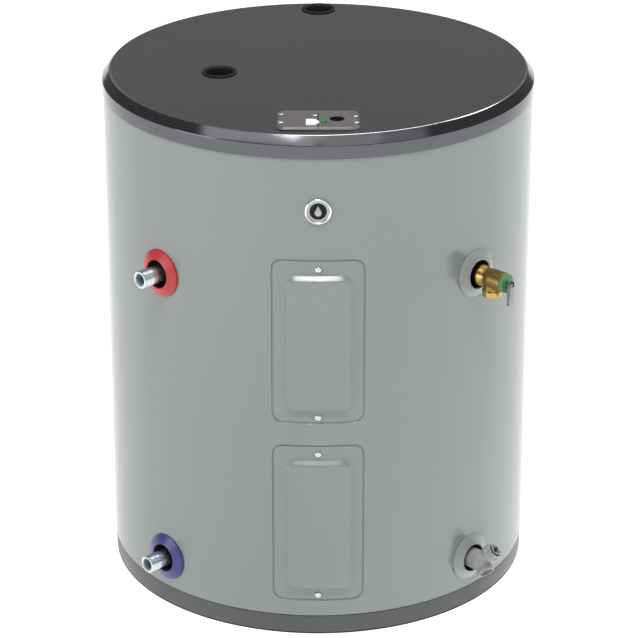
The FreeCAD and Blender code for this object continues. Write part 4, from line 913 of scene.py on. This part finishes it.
def cover_half(name, node, body, hole=None):
    """Half of the cover over the wiring box: flat top with a sloping rim on its three outer sides."""
    low, high = box_mm(node)
    left_half = low.x + high.x < 0
    split, end = (high.x, low.x) if left_half else (low.x, high.x)
    step = 1 if left_half else -1
    profile = arc_corners([(0, low.z, 0), (0, PLATE_TOP - PLATE_BEVEL, 0.6), (PLATE_BEVEL, PLATE_TOP, 1.2),
                           (PLATE_BEVEL + 2, PLATE_TOP, 0)])[:-1]
    bm = bmesh.new()
    rings = []
    for p in profile:
        inset = p.real
        radius = PLATE_CORNER - inset
        rings.append(arc_corners([(split, low.y + inset, 0), (split, high.y - inset, 0),
                                  (end + step * inset, high.y - inset, radius),
                                  (end + step * inset, low.y + inset, radius)], 8))
    loft(bm, [map(level(p.imag), ring) for p, ring in zip(profile, rings)])
    holes = [hole] if hole else []
    patch(bm, level(PLATE_TOP), rings[-1], holes)
    bmesh.ops.delete(bm, geom=[f for f in bm.faces if all(abs(v.co.x - split) < 0.01 for v in f.verts)],
                     context="FACES")
    piece(name, bm, "cover_steel", body=body, nodes=[node], thick=PLATE_SHEET, sharp=45)


def wiring_cover():
    entry = Vector(MOUNTS["power_entry"]["pos_m"]) / MM
    knockout = circle(complex(entry.x, entry.y), MOUNTS["power_entry"]["dims"]["r_mm"], 64)
    cover_half("wiring_cover_left", "junction_cover", "junction_cover")
    cover_half("wiring_cover_right", "conduit_plate", "heater", knockout)


def lid_screws(name, node, body, places):
    bm = bmesh.new()
    bottom = box_mm(node)[0].z
    for x, y, turn, length in places:
        here = Matrix.Translation((x, y, PLATE_TOP)) @ Matrix.Rotation(math.radians(turn), 4, "Z")
        screw(bm, here, min(length, PLATE_TOP - bottom))
    piece(name, bm, "screw_zinc", body=body, nodes=[node], sharp=28)


LEFT_SCREWS = [(-55.5, -249), (-55.5, -285)]
MIDDLE_SCREW = (-6, -253)
RIGHT_SCREWS = [(54.5, -258), (55.5, -286)]
LONG_SCREW = 12.7
SHORT_SCREW = 5.0


def earth_screw():
    """Hexagonal washer head with a slot."""
    low, high = box_mm("ground_screw")
    spot = middle_of("ground_screw")
    here = Matrix.Translation((spot.real, spot.imag, PLATE_TOP))
    bm = bmesh.new()
    flats = 4.0
    top = high.z - PLATE_TOP

    def hexagon(radius, height, angle):
        if height < 1.0:
            return radius
        turn = (angle + math.pi / 6) % (math.pi / 3) - math.pi / 6
        flat_r = flats / math.cos(turn)
        return min(radius, flat_r) if radius > 3.3 else radius

    outline = arc_corners([(0.4, 0, 0), (5.6, 0, 0), (5.6, 0.9, 0.5), (4.5, 1.0, 0), (4.62, 1.05, 0),
                           (4.62, top - 0.5, 0), (3.7, top, 0.2)], 4)
    lathe(bm, outline, here, 96, closed=False, radius_at=hexagon)

    def slotted(x, y):
        return top - clamped((0.6 - abs(y)) / EDGE_SOFT + 0.5)

    height_disc(bm, here, outline[-1].real, slotted, rings=20, segments=96)
    shank(bm, here, PLATE_TOP - low.z)
    piece("earth_screw_head", bm, "green_screw", nodes=["ground_screw"], sharp=30)


def tag():
    """Blank pointed tag, with soft edges."""
    low, high = box_mm("label_tag")
    bm = bmesh.new()
    shoulder = high.x - 5.8
    tip_y = (low.y + high.y) / 2 - 0.5
    profile = [(0, low.z), (0, high.z - 0.5), (0.15, high.z - 0.15), (0.5, high.z)]
    loops = []
    for inset, height in profile:
        ring = arc_corners([(low.x + inset, low.y + inset, 0.8), (shoulder - inset * 0.4, low.y + inset, 1.5),
                            (high.x - inset * 1.2, tip_y, 1.0),
                            (shoulder - inset * 0.4, high.y - inset, 1.5),
                            (low.x + inset, high.y - inset, 0.8)])
        loops.append(list(map(level(height), ring)))
        last = ring
    loft(bm, loops)
    patch(bm, level(high.z), last)
    patch(bm, level(low.z), [complex(v.x, v.y) for v in loops[0]])
    piece("blank_tag", bm, "white_tag", body="junction_cover", nodes=["label_tag"])


# ---- Soft rings in the lid's round holes ----
def lid_grommets():
    low, high = box_mm("lid_port_grommets")
    bm = bmesh.new()
    inside = LID_HIGH.z - LID_SKIRT_T
    rise = high.z - LID_HIGH.z
    outer = 27.3
    bore = 21.5
    outline = arc_corners([(bore, low.z, 0), (LID_PORT_R, low.z, 0), (LID_PORT_R, inside, 0),
                           (LID_PORT_R, LID_HIGH.z, 0), (outer, LID_HIGH.z, 0),
                           (outer, LID_HIGH.z + rise, 1.1), (bore + 1.8, LID_HIGH.z + rise, 1.3),
                           (bore, LID_HIGH.z - 0.6, 0.8)])
    for middle in LID_PORTS.values():
        lathe(bm, outline, Matrix.Translation((middle.real, middle.imag, 0)))
    piece("soft_grommets", bm, "black_rubber", nodes=["lid_port_grommets"])
    # A near-black sleeve down the anode's hole paints the shade inside it.
    sleeve = bmesh.new()
    anode = LID_PORTS["anode"]
    section = arc_corners([(bore + 0.1, SHADE_SLEEVE_FOOT, 0), (bore + 1.2, SHADE_SLEEVE_FOOT, 0),
                           (bore + 1.2, low.z - 0.1, 0), (bore + 0.1, low.z - 0.1, 0)])
    lathe(sleeve, section, Matrix.Translation((anode.real, anode.imag, 0)))
    piece("anode_shade_sleeve", sleeve, "dark_foam")


# ---- Badge ----
BADGE_R = 20.0
BADGE_RIM_IN = 16.7
BADGE_DISC_R = 12.8


def water_drop(scale=1.0):
    """Outline of a plain water drop, shrunk about the middle of its round end."""
    bulb_r = 5.2
    bulb = -2.4j
    tip = 8.4j
    lean = math.acos(bulb_r / abs(tip - bulb))
    start = math.pi / 2 - lean
    sweep = math.tau - 2 * lean
    rounding = [bulb + cmath.rect(bulb_r, start - sweep * k / 40) for k in range(41)]
    return [bulb + (p - bulb) * scale for p in [tip] + rounding]


def badge():
    low, high = box_mm("badge_ring")
    here = facing(0, (low.z + high.z) / 2) @ Matrix.Translation((0, 0, WALL_R))
    rim = bmesh.new()
    half = (BADGE_R - BADGE_RIM_IN) / 2
    crown = [complex(BADGE_R - half + half * math.cos(math.radians(a)),
                     1.2 + 2.0 * math.sin(math.radians(a))) for a in range(0, 181, 12)]
    lathe(rim, [complex(BADGE_R, -0.6), *crown, complex(BADGE_RIM_IN, -0.6)], here, 120)
    piece("badge_rim", rim, "badge_chrome", nodes=["badge_ring"])
    band = bmesh.new()
    section = arc_corners([(BADGE_DISC_R, -0.3, 0), (BADGE_RIM_IN + 0.1, -0.3, 0),
                           (BADGE_RIM_IN + 0.1, 1.3, 0), (BADGE_DISC_R, 1.0, 0.3)])
    lathe(band, section, here, 120)
    piece("badge_band", band, "badge_chrome", nodes=["badge_face"], finish="satin_silver")
    disc = bmesh.new()
    height_disc(disc, here, BADGE_DISC_R + 0.1, lambda x, y: 0.8, rings=8, segments=96)
    piece("badge_disc", disc, "badge_black", closed=False)
    drop = bmesh.new()
    layers = [(1.0, 0.7), (1.0, 1.2), (0.96, 1.5), (0.86, 1.7)]
    loft(drop, [map(level(height, here), water_drop(scale)) for scale, height in layers])
    for scale, height in (layers[-1], layers[0]):
        patch(drop, level(height, here), water_drop(scale))
    piece("badge_drop", drop, "badge_chrome", finish="satin_silver")


# ---- Studio ----
CAMERA_PLACE = (0.0012, -4.306, 2.237)
CAMERA_TARGET = (0.0012, 0, 0.390)
LENS_MM = 164.5
FLOOR_GLOW = 1.12
FLOOR_FILL = 0.18                      # extra glow that only matt surfaces receive
WORLD_GREY = 0.15
STRIP_SPREAD = math.radians(24)
# Name, place, target, size and power of each light.
LIGHTS = [
    ("low_right", (3.75, -0.85, -0.95), (0, 0, 0.45), (0.22, 0.22), 62),
    ("left", (-3.5, -1.8, 1.0), (0, 0, 0.45), (1.6, 1.6), 45),
    ("front", (0.6, -4.2, 2.6), (0, 0, 0.45), (1.6, 1.2), 10),
    ("wide_strip", (0, -1.36, 3.2), (0, -0.34, 0.6), (2.0, 0.24), 42),
    ("upper_strip", (0, -0.498, 0.988), (0, -0.34, 0.62), (0.34, 0.036), 0.026),
    ("lower_strip", (0, -0.520, 0.727), (0, -0.34, 0.36), (0.34, 0.036), 0.026),
    ("high_left", (-1.2, -1.2, 3.2), (-0.82, -0.25, 0.8), (2.6, 0.7), 8.5),
    ("high_middle", (0.65, -1.60, 3.2), (0.45, -0.5, 0.8), (1.2, 0.7), 2.8),
    ("high_right", (1.75, -1.20, 3.2), (1.2, -0.2, 0.8), (1.2, 0.7), 1.6),
    ("behind", (0, 5.0, 2.9), (0, 0, 0.8), (7.0, 2.0), 8),
    ("overhead", (0.3, -0.25, 3.4), (0, 0, 0.8), (3.2, 0.6), 44),
    ("back_right", (1.9, 1.5, 3.2), (0, 0, 0.8), (1.6, 1.2), 34),
]
NOT_REFLECTED = ("low_right", "wide_strip")
ONLY_REFLECTED = ("upper_strip", "lower_strip")     # bright bars along the access covers' top bevels


def look_at(thing, target):
    direction = Vector(target) - thing.location
    thing.rotation_euler = direction.to_track_quat("-Z", "Y").to_euler()


def softbox(name, place, target, size, power):
    """Rectangular area light that the camera doesn't see."""
    data = bpy.data.lights.new(name, "AREA")
    data.shape = "RECTANGLE"
    data.size, data.size_y = size
    data.energy = power
    light = add_object(name, data)
    light.location = place
    look_at(light, target)
    light.visible_camera = False
    return light


def studio_camera():
    data = bpy.data.cameras.new("camera")
    data.lens = LENS_MM
    data.sensor_width = 36.0
    camera = add_object("camera", data)
    camera.location = CAMERA_PLACE
    look_at(camera, CAMERA_TARGET)
    bpy.context.scene.camera = camera


def studio_floor():
    bm = bmesh.new()
    bmesh.ops.create_circle(bm, cap_ends=True, radius=40, segments=64)
    mesh = bpy.data.meshes.new("floor")
    bm.to_mesh(mesh)
    bm.free()
    floor = add_object("floor", mesh)
    material, tree, shader = node_material("pale_floor")
    shader.inputs["Base Color"].default_value = (0.25, 0.25, 0.25, 1)
    shader.inputs["Roughness"].default_value = 0.9
    shader.inputs["Specular IOR Level"].default_value = 0.0
    shader.inputs["Emission Color"].default_value = (1, 1, 1, 1)
    path = tree.nodes.new("ShaderNodeLightPath")
    glow = tree.nodes.new("ShaderNodeMath")
    glow.operation = "MULTIPLY_ADD"
    tree.links.new(path.outputs["Is Diffuse Ray"], glow.inputs[0])
    glow.inputs[1].default_value = FLOOR_FILL
    glow.inputs[2].default_value = FLOOR_GLOW
    tree.links.new(glow.outputs["Value"], shader.inputs["Emission Strength"])
    mesh.materials.append(material)
    floor.visible_shadow = False


def studio_world():
    """Grey surroundings that light the object softly, behind a white backdrop."""
    world = bpy.data.worlds.new("studio")
    world.use_nodes = True
    tree = world.node_tree
    surroundings = tree.nodes["Background"]
    surroundings.inputs["Color"].default_value = (1, 1, 1, 1)
    surroundings.inputs["Strength"].default_value = WORLD_GREY
    backdrop = tree.nodes.new("ShaderNodeBackground")
    backdrop.inputs["Strength"].default_value = 1.0
    chooser = tree.nodes.new("ShaderNodeMixShader")
    path = tree.nodes.new("ShaderNodeLightPath")
    tree.links.new(path.outputs["Is Camera Ray"], chooser.inputs["Fac"])
    tree.links.new(surroundings.outputs["Background"], chooser.inputs[1])
    tree.links.new(backdrop.outputs["Background"], chooser.inputs[2])
    tree.links.new(chooser.outputs["Shader"], tree.nodes["World Output"].inputs["Surface"])
    bpy.context.scene.world = world


def studio():
    scene = bpy.context.scene
    scene.view_settings.view_transform = "Standard"
    studio_camera()
    studio_floor()
    studio_world()
    for name, *setting in LIGHTS:
        light = softbox(name, *setting)
        light.visible_glossy = name not in NOT_REFLECTED
        if name in ONLY_REFLECTED:
            light.visible_diffuse = False
            light.data.spread = STRIP_SPREAD


def casing():
    jacket()
    jacket_seam()
    lid()
    base_pan()


def fittings():
    port_ring("hot", "red_plastic")
    port_ring("cold", "blue_plastic")
    port_ring("relief", "grey_plastic")
    port_ring("drain", "drain_plastic")
    nipple("hot")
    nipple("cold")
    relief_valve()
    drain_valve()
    drain_knob()


def covers():
    for which in ("upper", "lower"):
        access_cover(which)
        cover_screws(which)
    wiring_cover()
    left = [(*place, 20 + 45 * i, LONG_SCREW) for i, place in enumerate(LEFT_SCREWS)]
    left.append((*MIDDLE_SCREW, 40, SHORT_SCREW))
    right = [(*place, 10 + 40 * i, LONG_SCREW) for i, place in enumerate(RIGHT_SCREWS)]
    lid_screws("wiring_screws_left", "junction_cover_screws", "junction_cover", left)
    lid_screws("wiring_screws_right", "conduit_plate_screws", "heater", right)
    earth_screw()
    tag()
    lid_grommets()
    badge()


paint_cad_nodes()
casing()
fittings()
covers()
studio()
